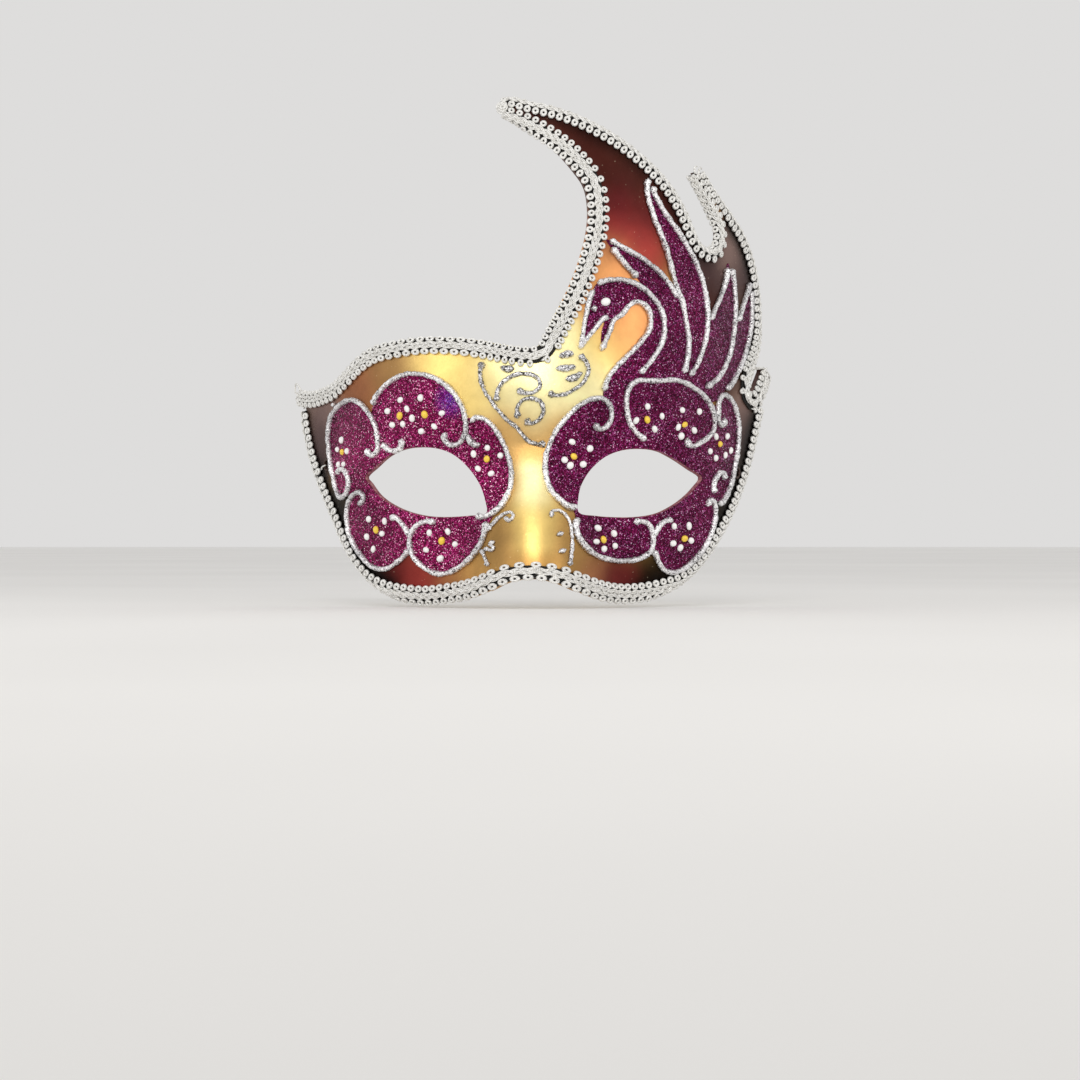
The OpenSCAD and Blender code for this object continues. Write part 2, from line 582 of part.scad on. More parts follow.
// A raised bead of glitter glue with a domed section and soft ends
module relief_line(points, width, base) {
    path = smooth_path(points, line_step);
    last = len(path) - 1;
    section = [[-0.5, 0], [-0.42, 0.62], [0, 1], [0.42, 0.62], [0.5, 0]];
    skin([
        for (i = [0:last])
            let (
                p = path[i],
                ahead = path[min(last, i + 1)] - path[max(0, i - 1)],
                across = [-ahead[1], ahead[0]] / norm([ahead[0], ahead[1]]),
                size = (i == 0 || i == last) ? 0.6 : 1
            )
            [for (q = section)
                on_face(p[0] + q[0] * size * width * across[0],
                        p[1] + q[0] * size * width * across[1],
                        base + q[1] * size * line_height)]
    ]);
}
module relief_lines(paths, width = line_width, base = glitter_thickness + relief_gap) {
    for (path = paths)
        relief_line(path, width, base);
}

// Stands its children on the face, with their own +Z along the outward direction
module stand(p, h) {
    q = placed(p);
    n = outward(q[0], q[1]);
    side = cross([0, 0, 1], n) / norm(cross([0, 0, 1], n));
    up = cross(n, side);
    o = on_face(q[0], q[1], h);
    multmatrix([
        [side[0], up[0], n[0], o[0]],
        [side[1], up[1], n[1], o[1]],
        [side[2], up[2], n[2], o[2]],
        [0, 0, 0, 1]
    ])
        children();
}

// A drop of glue that dried as a low dome
dome_profile = [[1, 0], [0.96, 0.4], [0.8, 0.72], [0.5, 0.93], [0, 1]];
dot_rise = 0.4;
module dot(diameter) {
    rotate_extrude($fn = 48)
        polygon(concat([[0, 0]],
                       [for (q = dome_profile) [q[0] * diameter / 2, q[1] * dot_rise * diameter]]));
}
module dots(points, diameter, base = glitter_thickness + relief_gap) {
    for (p = points)
        stand(p, base) dot(diameter);
}

// ---------------------------------------------------------------- tie eyelets

left_tie = [-95.6, 6];
right_tie = [91.4, 3];
flange_thickness = 0.4;
barrel_radius = tie_hole_diameter / 2 + eyelet_wall;

module eyelet(p) {
    stand(p, 0)
        rotate_extrude($fn = 64)
            polygon([
                [tie_hole_diameter / 2, -shell_thickness - flange_thickness],
                [barrel_radius, -shell_thickness - flange_thickness],
                [barrel_radius, paint_gap],
                [eyelet_flange_diameter / 2, paint_gap],
                [eyelet_flange_diameter / 2, flange_thickness],
                [tie_hole_diameter / 2, flange_thickness]
            ]);
}
module eyelet_hole(p) {
    stand(p, -2 * shell_thickness)
        cylinder(h = 4 * shell_thickness, r = barrel_radius + eyelet_clearance, $fn = 24);
}

// ---------------------------------------------------------------- sub-parts

module shell()
    color("goldenrod")
        cut_sheet(rim, -shell_thickness, 0) {
            eyelet_hole(left_tie);
            eyelet_hole(right_tie);
        }

module brow_braid() color("silver") braid(brow_rim);
module crest_braid() color("silver") braid(crest_rim);
module side_braid() color("silver") braid(side_rim);
module cheek_braid() color("silver") braid(cheek_rim);
module temple_braid() color("silver") braid(temple_rim);

module left_tie_eyelet() color("dimgray") eyelet(left_tie);
module right_tie_eyelet() color("dimgray") eyelet(right_tie);

module glitter(outline)
    cut_sheet(smooth_ring(outline, outline_step), paint_gap, paint_gap + glitter_thickness);
module left_eye_glitter() color("mediumvioletred") glitter(left_glitter_outline);
module right_eye_glitter() color("purple") glitter(right_glitter_outline);
module swan_neck_glitter() color("purple") glitter(neck_glitter_outline);
module swan_wing_glitter() color("purple") glitter(wing_glitter_outline);

module left_temple_scroll() color("whitesmoke") relief_lines([left_temple_path, left_nib]);
module left_brow_scroll() color("whitesmoke") relief_lines([left_brow_path]);
module left_brow_hook() color("whitesmoke") relief_lines([left_hook_path]);
module left_nose_scroll() color("whitesmoke") relief_lines([left_nose_path, left_nose_spur]);
module left_cheek_outer_scroll()
    color("whitesmoke") relief_lines([left_cheek_outer_path, left_cheek_curl]);
module left_cheek_inner_scroll() color("whitesmoke") relief_lines([left_cheek_inner_path]);
module right_nose_scroll() color("whitesmoke") relief_lines([right_nose_path]);
module right_temple_scroll() color("whitesmoke") relief_lines([right_temple_path]);
module right_temple_hook() color("whitesmoke") relief_lines([right_hook_path]);
module right_cheek_outer_scroll()
    color("whitesmoke") relief_lines([right_cheek_outer_path, right_cheek_curl]);
module right_cheek_inner_scroll() color("whitesmoke") relief_lines([right_cheek_inner_path]);
module swan_body_line() color("whitesmoke") relief_lines([swan_body_path]);
module swan_neck_line() color("whitesmoke") relief_lines([swan_neck_path]);
module swan_face_line() color("whitesmoke") relief_lines([swan_face_path]);
module swan_beak_line() color("whitesmoke") relief_lines([swan_beak_path, swan_nostril]);
module first_feather_lines() color("whitesmoke") relief_lines(first_feather);
module second_feather_lines() color("whitesmoke") relief_lines(second_feather);
module third_feather_lines() color("whitesmoke") relief_lines(third_feather);
module fourth_feather_lines() color("whitesmoke") relief_lines(fourth_feather);
module forehead_scrolls() color("whitesmoke") relief_lines(forehead_paths, base = relief_gap);
module left_nose_sprig()
    color("whitesmoke") relief_lines(left_sprig_paths, fine_line_width, relief_gap);
module right_nose_sprig()
    color("whitesmoke") {
        relief_lines(right_sprig_paths, fine_line_width, relief_gap);
        dots(right_sprig_blobs, white_dot_diameter, relief_gap);
    }

module left_temple_white_dots() color("white") dots(left_temple_dots, white_dot_diameter);
module left_brow_white_dots() color("white") dots(left_brow_dots, white_dot_diameter);
module left_nose_white_dots() color("white") dots(left_nose_dots, white_dot_diameter);
module left_cheek_white_dots() color("white") dots(left_cheek_dots, white_dot_diameter);
module right_nose_white_dots() color("white") dots(right_nose_dots, white_dot_diameter);
module swan_body_white_dots() color("white") dots(swan_body_dots, white_dot_diameter);
module right_temple_white_dots() color("white") dots(right_temple_dots, white_dot_diameter);
module right_cheek_white_dots() color("white") dots(right_cheek_dots, white_dot_diameter);
module left_yellow_dots() color("gold") dots(left_centres, yellow_dot_diameter);
module right_yellow_dots() color("gold") dots(right_centres, yellow_dot_diameter);
module swan_eye() color("white") dots([swan_eye_point], swan_eye_diameter);

shell();
brow_braid();
crest_braid();
side_braid();
cheek_braid();
temple_braid();
left_tie_eyelet();
right_tie_eyelet();
left_eye_glitter();
right_eye_glitter();
swan_neck_glitter();
swan_wing_glitter();
left_temple_scroll();
left_brow_scroll();
left_brow_hook();
left_nose_scroll();
left_cheek_outer_scroll();
left_cheek_inner_scroll();
right_nose_scroll();
right_temple_scroll();
right_temple_hook();
right_cheek_outer_scroll();
right_cheek_inner_scroll();
swan_body_line();
swan_neck_line();
swan_face_line();
swan_beak_line();
first_feather_lines();
second_feather_lines();
third_feather_lines();
fourth_feather_lines();
forehead_scrolls();
left_nose_sprig();
right_nose_sprig();
left_temple_white_dots();
left_brow_white_dots();
left_nose_white_dots();
left_cheek_white_dots();
right_nose_white_dots();
swan_body_white_dots();
right_temple_white_dots();
right_cheek_white_dots();
left_yellow_dots();
right_yellow_dots();
swan_eye();
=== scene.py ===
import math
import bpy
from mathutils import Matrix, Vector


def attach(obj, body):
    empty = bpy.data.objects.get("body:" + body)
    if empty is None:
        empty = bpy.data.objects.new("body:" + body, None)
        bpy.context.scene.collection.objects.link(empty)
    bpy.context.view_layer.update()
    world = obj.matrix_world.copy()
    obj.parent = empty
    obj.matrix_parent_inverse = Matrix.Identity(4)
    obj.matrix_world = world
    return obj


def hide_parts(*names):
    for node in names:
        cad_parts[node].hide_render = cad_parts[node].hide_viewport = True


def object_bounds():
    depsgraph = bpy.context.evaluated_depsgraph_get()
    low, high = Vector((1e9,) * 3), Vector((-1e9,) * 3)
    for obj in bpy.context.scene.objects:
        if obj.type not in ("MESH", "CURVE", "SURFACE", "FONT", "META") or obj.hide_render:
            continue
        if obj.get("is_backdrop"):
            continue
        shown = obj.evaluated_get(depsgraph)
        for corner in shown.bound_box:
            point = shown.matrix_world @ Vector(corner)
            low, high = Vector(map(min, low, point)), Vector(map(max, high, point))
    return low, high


bl_info = {
    "name": "Venetian masquerade mask",
    "version": (1, 0, 0),
    "blender": (4, 5, 0),
    "location": "3D View > Sidebar > Mask",
    "description": "Makes a papier-mache half mask with gimp braid, glitter fields "
                   "and relief lines",
    "category": "Add Mesh",
}

import bpy
import numpy as np

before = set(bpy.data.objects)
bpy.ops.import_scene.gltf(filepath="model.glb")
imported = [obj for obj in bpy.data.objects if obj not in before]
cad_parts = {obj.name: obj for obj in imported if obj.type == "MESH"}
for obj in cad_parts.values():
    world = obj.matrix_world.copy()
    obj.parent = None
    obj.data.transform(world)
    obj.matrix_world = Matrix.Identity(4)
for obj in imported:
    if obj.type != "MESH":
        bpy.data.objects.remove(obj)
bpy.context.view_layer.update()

MM = 0.001
BODY = "root"

# ---------------------------------------------------------------- the face form
# The mask is drawn unrolled, as the distance u round the face from the nose and the height z
# above the eyes, with h standing off the front face. All three are in millimetres. A flat
# piece has u on X, z on Z and -h on Y until it is wrapped on the face.

FACE_RADIUS = 85
TEMPLE_ANGLE = math.radians(58)
SHELL_THICKNESS = 2
ARC_LENGTH = FACE_RADIUS * TEMPLE_ANGLE
NOSE_HEIGHT = 21
NOSE_ROOT = 12
NOSE_RUN = 52
NOSE_HALF_WIDTH = 13
NOSE_WIDENING = 9
BROW_SWELL = 2.5
BROW_LEVEL = 34
BROW_HALF_WIDTH = 45
SOCKET_DEPTH = 2.5
SOCKET_LEVEL = 2
SOCKET_DISTANCE = 40
SOCKET_HALF_WIDTH = 20
SWELL_HALF_HEIGHT = 15
BROW_LEAN = 1000  # the face leans back by z * z over this above the eyes
CHEEK_LEAN = 400  # and over this below them


def eased(x):
    x = np.clip(x, 0, 1)
    return x * x * (3 - 2 * x)


def swell(u, z):
    """How far the nose, the brow and the eye sockets stand out from the plain curve."""
    down = np.clip((NOSE_ROOT - z) / NOSE_RUN, 0, 1)
    half_width = NOSE_HALF_WIDTH + NOSE_WIDENING * down
    nose = (NOSE_HEIGHT * (0.55 * eased(down) + 0.45 * down)
            * np.exp(-((np.abs(u) / half_width) ** 2.2)))
    brow = BROW_SWELL * np.exp(-(((z - BROW_LEVEL) / SWELL_HALF_HEIGHT) ** 2)
                               - (u / BROW_HALF_WIDTH) ** 2)
    socket = -SOCKET_DEPTH * np.exp(-(((z - SOCKET_LEVEL) / SWELL_HALF_HEIGHT) ** 2)
                                    - ((np.abs(u) - SOCKET_DISTANCE) / SOCKET_HALF_WIDTH) ** 2)
    return nose + brow + socket


BRIDGE_OFFSET = float(swell(np.array(0.0), np.array(0.0))) - SHELL_THICKNESS


def front(u, z):
    """Points of the front face of the shell."""
    arc = np.minimum(np.abs(u), ARC_LENGTH)
    flat = np.abs(u) - arc
    turn = np.sign(u) * arc / FACE_RADIUS
    side = FACE_RADIUS * np.sin(turn) + np.sign(u) * flat * math.cos(TEMPLE_ANGLE)
    back = FACE_RADIUS * (1 - np.cos(turn)) + flat * math.sin(TEMPLE_ANGLE)
    lean = z * z / np.where(z > 0, BROW_LEAN, CHEEK_LEAN)
    out = swell(u, z)
    return np.stack(
        [side + out * np.sin(turn), back - out * np.cos(turn) + lean + BRIDGE_OFFSET, z + 0 * u],
        axis=-1,
    )


def outward(u, z):
    step = 0.05
    across = front(u + step, z) - front(u - step, z)
    up = front(u, z + step) - front(u, z - step)
    normal = np.cross(across, up)
    return normal / np.linalg.norm(normal, axis=-1, keepdims=True)


def on_face(points):
    """Takes rows of u, z, h and gives their places on the face."""
    u, z, h = points[:, 0], points[:, 1], points[:, 2]
    return front(u, z) + h[:, None] * outward(u, z)


# ---------------------------------------------------------------- smooth curves


def smooth(points, step, closed=False):
    """A curve through points, sampled about every step. Extra columns are carried along."""
    p = np.array(points, float)
    if closed:
        p = np.vstack([p[-1], p, p[0], p[1]])
    else:
        p = np.vstack([2 * p[0] - p[1], p, 2 * p[-1] - p[-2]])
    rows = []
    for a, b, c, d in zip(p, p[1:], p[2:], p[3:]):
        pieces = max(1, round(float(np.linalg.norm((c - b)[:2])) / step))
        for t in np.arange(pieces) / pieces:
            rows.append(
                (2 * b + (c - a) * t + (2 * a - 5 * b + 4 * c - d) * t * t
                 + (3 * b - a - 3 * c + d) * t ** 3) / 2
            )
    if not closed:
        rows.append(p[-2])
    return np.array(rows)


def distances(path):
    gaps = np.linalg.norm(np.diff(path[:, :2], axis=0), axis=1)
    return np.concatenate([[0], np.cumsum(gaps)])


def headings(path):
    """The direction of a path at each of its points."""
    ahead = np.gradient(path, axis=0)
    return ahead / np.linalg.norm(ahead, axis=1, keepdims=True)


def to_the_left(ahead):
    return np.stack([-ahead[:, 1], ahead[:, 0]], axis=1)


def part_of(points, first, last):
    step = 1 if last >= first else -1
    return [points[i] for i in range(first, last + step, step)]


# ---------------------------------------------------------------- outlines and paths

LEFT_EYE = [
    [-69.5, 1], [-64, 4.6], [-57.5, 8.6], [-50, 11], [-42, 11.5], [-35, 10.6], [-29, 8],
    [-23.5, 3.2], [-19.5, -2.2], [-17, -8], [-16.4, -12.8], [-23, -13.5], [-31, -14],
    [-39, -13.8], [-47, -12.4], [-55, -9.8], [-62, -6.2], [-67, -1.6]
]
RIGHT_EYE = [
    [68.4, 0.8], [62, 4], [55, 7.4], [47.5, 10.2], [40, 10.9], [32.5, 10.2], [26, 7.8],
    [20.5, 3.4], [16.7, -2], [15.1, -7], [15, -12.4], [22, -13.6], [30, -14.1],
    [38, -14], [46, -12.9], [53, -10.4], [59.5, -7], [65, -3]
]
BROW_RIM = [
    [-117.5, 34.5, 6, 0.8], [-107, 34, 6.6, 0.8], [-98, 34.8, 6.6, 0.8], [-90, 36.5, 6.8, 0.82],
    [-82, 40, 6.8, 0.82], [-74, 44.6, 6.8, 0.82], [-65, 48.4, 6.8, 0.82],
    [-55, 50.1, 6.8, 0.82], [-42, 51.2, 6.8, 0.82], [-30, 50.8, 6.8, 0.82],
    [-20, 49.7, 7, 0.84], [-10, 47.8, 7.2, 0.86], [-3.5, 46.8, 7.4, 0.9],
    [0.8, 47.3, 7.8, 0.95], [3, 51, 8, 1], [6, 57.2, 8.2, 1], [10, 65, 8.4, 1],
    [13.6, 73, 8.4, 1], [16.4, 81, 8.4, 1], [18.4, 89, 8.4, 1], [19, 97, 8.4, 1],
    [17.6, 105, 8.4, 1], [13.4, 111.2, 8.2, 1], [7.4, 118, 7.4, 1], [0.8, 124.6, 5.6, 1],
    [-5.4, 129.8, 3.4, 0.95], [-10.6, 133.2, 1.6, 0.8]
]
CREST_RIM = [
    [-11.8, 135.2, 1.2, 0.8], [-8.4, 135.8, 1.6, 0.85], [-2, 134.2, 2.2, 0.95], [6, 132.4, 2.4, 1],
    [14, 129.8, 2.4, 1], [23, 125.8, 2.4, 1], [32, 120.8, 2.4, 1], [41, 114.6, 2.4, 1],
    [50, 107, 2.6, 1], [57, 98.6, 2.8, 1], [61.6, 90.8, 2.8, 1], [65.4, 85.4, 2.8, 1],
    [70.4, 83.2, 3.2, 1], [75.4, 84.8, 4.8, 1], [77.6, 89.6, 5.8, 1], [77.2, 95.6, 4.4, 1],
    [73.8, 101.8, 2.4, 0.95], [68.8, 108, 1.8, 0.9], [64.4, 113, 1.4, 0.8]
]
SIDE_RIM = [
    [67.8, 112.4, 0.8, 0.7], [73.6, 106.4, 1.1, 0.75], [80.4, 101.2, 1.5, 0.85], [87, 97, 2.6, 1],
    [94, 92.2, 2.6, 1], [99.6, 86.4, 2.6, 1], [104, 79.4, 2.6, 1], [106.6, 71.4, 2.6, 1],
    [107.6, 62, 2.8, 1], [107.4, 54, 3.4, 1], [105.4, 47.4, 4.8, 1], [102.8, 41.6, 6.8, 1],
    [100.8, 36.6, 7.8, 1], [101.4, 33, 8, 1], [104.6, 34.4, 8, 1], [107.8, 38.2, 7.8, 1],
    [110.8, 42, 7.4, 0.9]
]
CHEEK_RIM = [
    [109.2, 27, 2.2, 0.95], [106.2, 21.2, 2.2, 1], [103, 14.6, 2.2, 1], [99.4, 7.4, 2.2, 1],
    [95, 0.4, 2.2, 1], [89.8, -6.4, 2.2, 1], [83.6, -13.2, 2.2, 1], [77.2, -19.6, 2.2, 1],
    [70.8, -25.6, 1.2, 0.85], [64.4, -31, 1.2, 0.85], [57.6, -35.4, 2, 0.9],
    [49.6, -39.8, 4.4, 0.9], [40, -43.4, 6.4, 0.9], [30, -44.8, 7.4, 0.9],
    [21, -43.6, 7.4, 0.9], [12.6, -40.4, 7, 0.86], [5.6, -37.2, 6.6, 0.82],
    [-1, -36, 6.4, 0.8], [-7.4, -37.2, 6.6, 0.82], [-13.6, -40.4, 7, 0.86],
    [-21, -43.2, 7.4, 0.9], [-30, -44.4, 7.2, 0.9], [-40, -44.8, 6.6, 0.9],
    [-50, -42.8, 5.2, 0.9], [-58, -39.6, 3.2, 0.9], [-66.4, -34.8, 1.4, 0.85],
    [-74, -29, 1, 0.85], [-81, -22.2, 1.8, 0.9], [-88, -13.8, 2.4, 1],
    [-95, -5.8, 2.4, 1], [-101, 1.6, 2.4, 1]
]
TEMPLE_RIM = [
    [-101.6, 2.4, 2.4, 1], [-105.6, 8.2, 2.4, 1], [-109, 14.8, 2.4, 1],
    [-111.6, 21.4, 2.4, 1], [-112.8, 26.6, 2.4, 0.9]
]
HORN_END = [[111.2, 42.4], [117.2, 39.4], [113.8, 34]]
TEMPLE_END = [[-113.6, 29], [-116.4, 32.4]]
LEFT_TEMPLE_PATH = [
    [-68, 11.2], [-65.4, 8.8], [-62.4, 10.4], [-61.8, 14.6], [-63, 19.4], [-66, 24],
    [-70.6, 27.6], [-76, 29.3], [-82, 28.5], [-87.6, 26.2], [-91.6, 23], [-93.2, 17],
    [-92.6, 10.4], [-91, 5], [-88.6, 0.4], [-87, -3.6], [-83, -6.4], [-79.2, -4.4],
    [-78.2, -0.6], [-80.2, 3], [-84, 4], [-86.4, 2.4]
]
LEFT_NIB = [[-89.2, 27.6], [-89.9, 28.7]]
LEFT_BROW_PATH = [
    [-64.2, 27], [-61.6, 30.6], [-57, 34.2], [-51, 36.9], [-45, 37.8], [-38.4, 36.8],
    [-32.6, 34], [-28.2, 30], [-25.4, 25], [-24.4, 20], [-25, 15.6], [-27.4, 12.6],
    [-31, 12.2], [-33, 14.4], [-32.4, 16.6]
]
LEFT_HOOK_PATH = [[-59.8, 13], [-57.4, 10.9], [-54, 10.2], [-51.4, 11.8], [-50.6, 14.6]]
LEFT_NOSE_PATH = [
    [-22.6, 20], [-20.4, 21.7], [-17.2, 20.9], [-14, 17.6], [-11.2, 13], [-9, 7.6],
    [-7.8, 2], [-8, -3.6], [-9.8, -8.4], [-12.8, -12], [-16.4, -13.8], [-20, -13.8]
]
LEFT_NOSE_SPUR = [[-24.2, 15.8], [-23.2, 13.6], [-21.4, 12], [-19.4, 12.2]]
LEFT_CHEEK_OUTER_PATH = [
    [-72.4, -8.8], [-70.2, -8.2], [-69.6, -5.9], [-72.4, -4.6], [-76, -6], [-78.7, -9.6],
    [-79.3, -14.6], [-77.8, -19.6], [-74.7, -23.8], [-70.7, -27.7], [-66.2, -31], [-61.4, -32.5],
    [-56.4, -32], [-52, -29.6], [-49, -27.2], [-47.2, -25.2]
]
LEFT_CHEEK_CURL = [[-46.8, -20.6], [-48.8, -18], [-50.6, -16.2], [-53.2, -14.2], [-56, -14]]
LEFT_CHEEK_INNER_PATH = [
    [-36.4, -15.7], [-40.4, -15.4], [-44.4, -17], [-46.8, -20.4], [-46.8, -25],
    [-44.4, -29], [-40, -32.4], [-34.6, -34], [-29, -33.2], [-24, -30.8], [-19.8, -27],
    [-17, -22.4], [-15.8, -17.6], [-15.9, -15.6]
]
RIGHT_NOSE_PATH = [
    [14.2, -10.7], [11.4, -10.3], [8.8, -8.6], [6.2, -5.8], [4.4, -2], [3.6, 2.6],
    [4, 7.6], [5.3, 12], [7.4, 16.6], [10.4, 20.8], [14, 24.6], [18, 27.3], [22, 28.6],
    [25.3, 27.5], [27.3, 24.5], [27.3, 21], [25.3, 18.3], [22.8, 17.8], [21.4, 19.7]
]
RIGHT_TEMPLE_PATH = [
    [80.8, 22.8], [79.8, 20.4], [77.6, 20.9], [76.6, 24], [77, 28.3], [79.6, 31],
    [83.6, 30.8], [87.6, 28.2], [90.5, 24], [91.6, 18.5], [91, 13], [89.5, 8], [87.5, 3],
    [85, -2], [82, -6], [79, -8.3], [76.9, -8.2]
]
RIGHT_HOOK_PATH = [[80.7, 0], [80.2, 2.2], [78, 2.6], [75.5, 0.8], [74, -2], [74.3, -5]]
RIGHT_CHEEK_OUTER_PATH = [
    [70.4, -9.6], [71.8, -7.6], [74, -7.9], [75, -10.8], [74.7, -14.6], [73, -18.6],
    [70.4, -22.6], [67, -26.4], [62.4, -29.9], [57.8, -32.4], [53.4, -33.6], [49.4, -32.8],
    [47, -30.2], [45.8, -27.8], [44.4, -25.6]
]
RIGHT_CHEEK_CURL = [[44.4, -20.6], [46.2, -18.6], [47.6, -16.6], [50.2, -15], [53.2, -14.6]]
RIGHT_CHEEK_INNER_PATH = [
    [36.6, -15.7], [40, -15.3], [42.8, -16.6], [44.3, -19.6], [44.3, -23.6], [42.8, -26.4],
    [39, -28.4], [33.5, -29.4], [27.5, -29.2], [21.6, -28], [17, -25.2], [14.2, -21.4],
    [13.3, -17.4], [14.1, -14.2]
]
SWAN_BODY_PATH = [
    [42, 14], [39.4, 15.4], [36.8, 17.6], [34.5, 20.6], [33.3, 24.5], [33, 28.5], [34, 32.4],
    [37, 34.8], [42, 35.2], [47, 35.2], [52, 35.8], [57, 35.2], [62, 33.5], [66.5, 31.5],
    [70, 29], [72.8, 26], [74.4, 22.2], [73.8, 18.4], [71, 15.6], [67, 13.5], [63.3, 12.3],
    [60.6, 12.8], [60.2, 15]
]
SWAN_NECK_PATH = [
    [22.6, 69.8], [26.4, 71], [31.5, 71.4], [37, 70.2], [42, 67.4], [46.3, 63.3], [48.9, 58],
    [49, 52.6], [47, 47.5], [44, 43.3], [40.8, 40], [38.2, 37.8]
]
SWAN_FACE_PATH = [
    [24.4, 31], [25.6, 34.8], [28, 38.4], [31.6, 42], [36, 46], [40, 50], [42.8, 54],
    [43.3, 58.5], [41.5, 62], [38, 63.5], [34.8, 62], [32, 58.8], [29, 56.8], [27, 52.6],
    [25.2, 48.6], [23.8, 45.4]
]
SWAN_BEAK_PATH = [
    [21.2, 67.4], [19.5, 63.2], [18.5, 58.8], [17.7, 54.4], [16.9, 50.4], [16.2, 46.6],
    [18.2, 49.2], [21.2, 52.8], [24.6, 56.8], [26.8, 57.6]
]
SWAN_NOSTRIL = [[20.4, 60.4], [22.6, 60.8]]
FIRST_FEATHER = [
    [[27.4, 85.6], [32, 83.3], [38, 80.5], [43, 77.7], [47.5, 74.5], [51.5, 70.8],
     [54, 67.5], [55.4, 65.8]],
    [[28, 83], [30.8, 79.8], [34.2, 76], [38.2, 72.4]]
]
SECOND_FEATHER = [
    [[42.6, 109], [42.3, 105], [43, 101], [45, 95], [48, 88.5], [51, 81.6], [53, 75],
     [55, 69.4], [57.3, 64.4], [59, 58.6], [60.3, 52.6], [60.3, 47], [59, 42], [57.4, 38.4]],
    [[44.2, 106.2], [46.4, 101.6], [51, 95.4], [56.5, 89.3], [61, 84], [65, 78.5],
     [68, 72.5], [69.8, 66.5], [70.6, 60.5], [70.2, 54.6], [68.5, 49], [66, 44],
     [63, 40], [60.6, 37.8]]
]
THIRD_FEATHER = [
    [[84, 78.6], [82.8, 74.8], [80.8, 70.6], [77.8, 66.2], [74.8, 62.2], [72.6, 58.6]],
    [[86.4, 78.6], [88, 74.6], [89.4, 69.4], [89.5, 63], [88.5, 57], [87, 51.5], [84.5, 46],
     [81, 41.5], [76.5, 37.4], [72.4, 35], [69.6, 33.6]]
]
FOURTH_FEATHER = [
    [[101.4, 74.4], [99, 70.4], [96, 66], [93, 61.8], [91.2, 59.2]],
    [[102.2, 71.4], [102.5, 66], [102, 60], [100.4, 54], [97.6, 48.4], [94, 43.4],
     [90, 39], [86, 35.6], [82.4, 33.6]]
]
FOREHEAD_PATHS = [
    [[-18.2, 41.4], [-18.9, 37], [-17.9, 32.4], [-15.4, 28], [-12.2, 23.6], [-9, 20.2],
     [-6, 17.8], [-4.2, 15.4], [-1.8, 13], [1.6, 12], [4, 12.4]],
    [[-13.2, 27.2], [-12.8, 31], [-10.4, 34.4], [-6.4, 36.7], [-1.8, 36.8], [1.4, 35],
     [1.8, 32.2], [-0.6, 30.3], [-3.6, 30.4], [-6, 31.4]],
    [[-5.8, 21.2], [-6, 24.6], [-4, 27.6], [-0.6, 28.3], [2.4, 26.6], [3.2, 23.4],
     [1.6, 20.6], [-1.2, 19.4], [-3.4, 20.6]],
    [[-11.8, 39.4], [-9.2, 38.8], [-7, 38.8]],
    [[8.6, 43], [11.2, 44], [13.8, 44]],
    [[7.4, 39], [11, 39], [14.4, 39.6]],
    [[10.8, 35], [14, 35.8], [16.6, 37.6]],
    [[15.6, 43.8], [18, 41.6], [18.9, 38], [17.2, 34.2], [13.8, 31.4], [10, 29.6],
     [6.6, 29.4], [5, 30.6]]
]
LEFT_SPRIG_PATHS = [
    [[-15.2, -18.8], [-13, -15.6], [-10.4, -13.2], [-7.8, -12.2], [-6.6, -13.6], [-8, -15.2],
     [-9.2, -14]],
    [[-17, -25.4], [-15.6, -28.6], [-14.2, -31.2]],
    [[-15.8, -24.8], [-13.4, -25.8], [-12.6, -24.6], [-14, -23.6], [-12.4, -22.6]]
]
RIGHT_SPRIG_PATHS = [
    [[5.2, -14], [5.8, -12], [8, -11.6], [10, -13.2], [11.4, -16], [11.8, -20],
     [11.6, -24.6], [10.9, -28.6], [10.4, -31]]
]
RIGHT_SPRIG_BLOBS = [[8, -20], [8.4, -25.8]]
LEFT_TEMPLE_DOTS = [[-83.6, 14.8], [-86.8, 11.4], [-79.8, 10.6], [-86, 5.8], [-82.2, 5.9]]
LEFT_BROW_DOTS = [
    [-50.8, 28.5], [-57, 24.6], [-48, 25.2], [-46, 21.8], [-50.2, 19.8], [-55, 19.6],
    [-42, 29], [-33.6, 23.4], [-37, 18.7], [-42.5, 17.1]
]
LEFT_NOSE_DOTS = [[-16.8, 10.8], [-12, 8], [-22, 8.7], [-20.3, 3.4], [-15.2, 1.6]]
LEFT_CHEEK_DOTS = [
    [-66.8, -14.4], [-58.8, -15.2], [-60, -19.7], [-64.4, -25.3], [-67.8, -20.8],
    [-39, -19.4], [-31.4, -19], [-28.2, -23.5], [-34.2, -28.6], [-40.2, -25.5]
]
LEFT_CENTRES = [
    [-83.2, 10.4], [-51.4, 22.8], [-40.6, 23], [-17, 6.8], [-63, -18.3], [-33.8, -22.3]
]
RIGHT_NOSE_DOTS = [[13.4, 12.9], [20, 10.6], [10.6, 6.4], [12.6, 4.4], [17.4, 4.9]]
SWAN_BODY_DOTS = [
    [41.8, 25.9], [48.2, 22.6], [37.4, 20.8], [45.4, 17.9],
    [57.4, 25], [66, 24.7], [63.6, 17.8], [57.4, 15.6], [55.8, 18.8]
]
RIGHT_TEMPLE_DOTS = [
    [75.8, 15.9], [83.4, 16.2], [72.4, 10.4], [75.8, 8], [82, 9.2], [86, 11]
]
RIGHT_CHEEK_DOTS = [
    [22, -17.8], [28.5, -19.7], [21, -22.6], [28.7, -24.1], [24, -25.2],
    [54, -17], [61, -16.9], [62, -22.2], [56.7, -24.8], [53.4, -23.2]
]
RIGHT_CENTRES = [
    [14, 7.7], [42, 21.2], [58.8, 19.8], [78.4, 13.2], [24, -21.9], [58.8, -21.5]
]
SWAN_EYE_POINT = [25.8, 63.2]

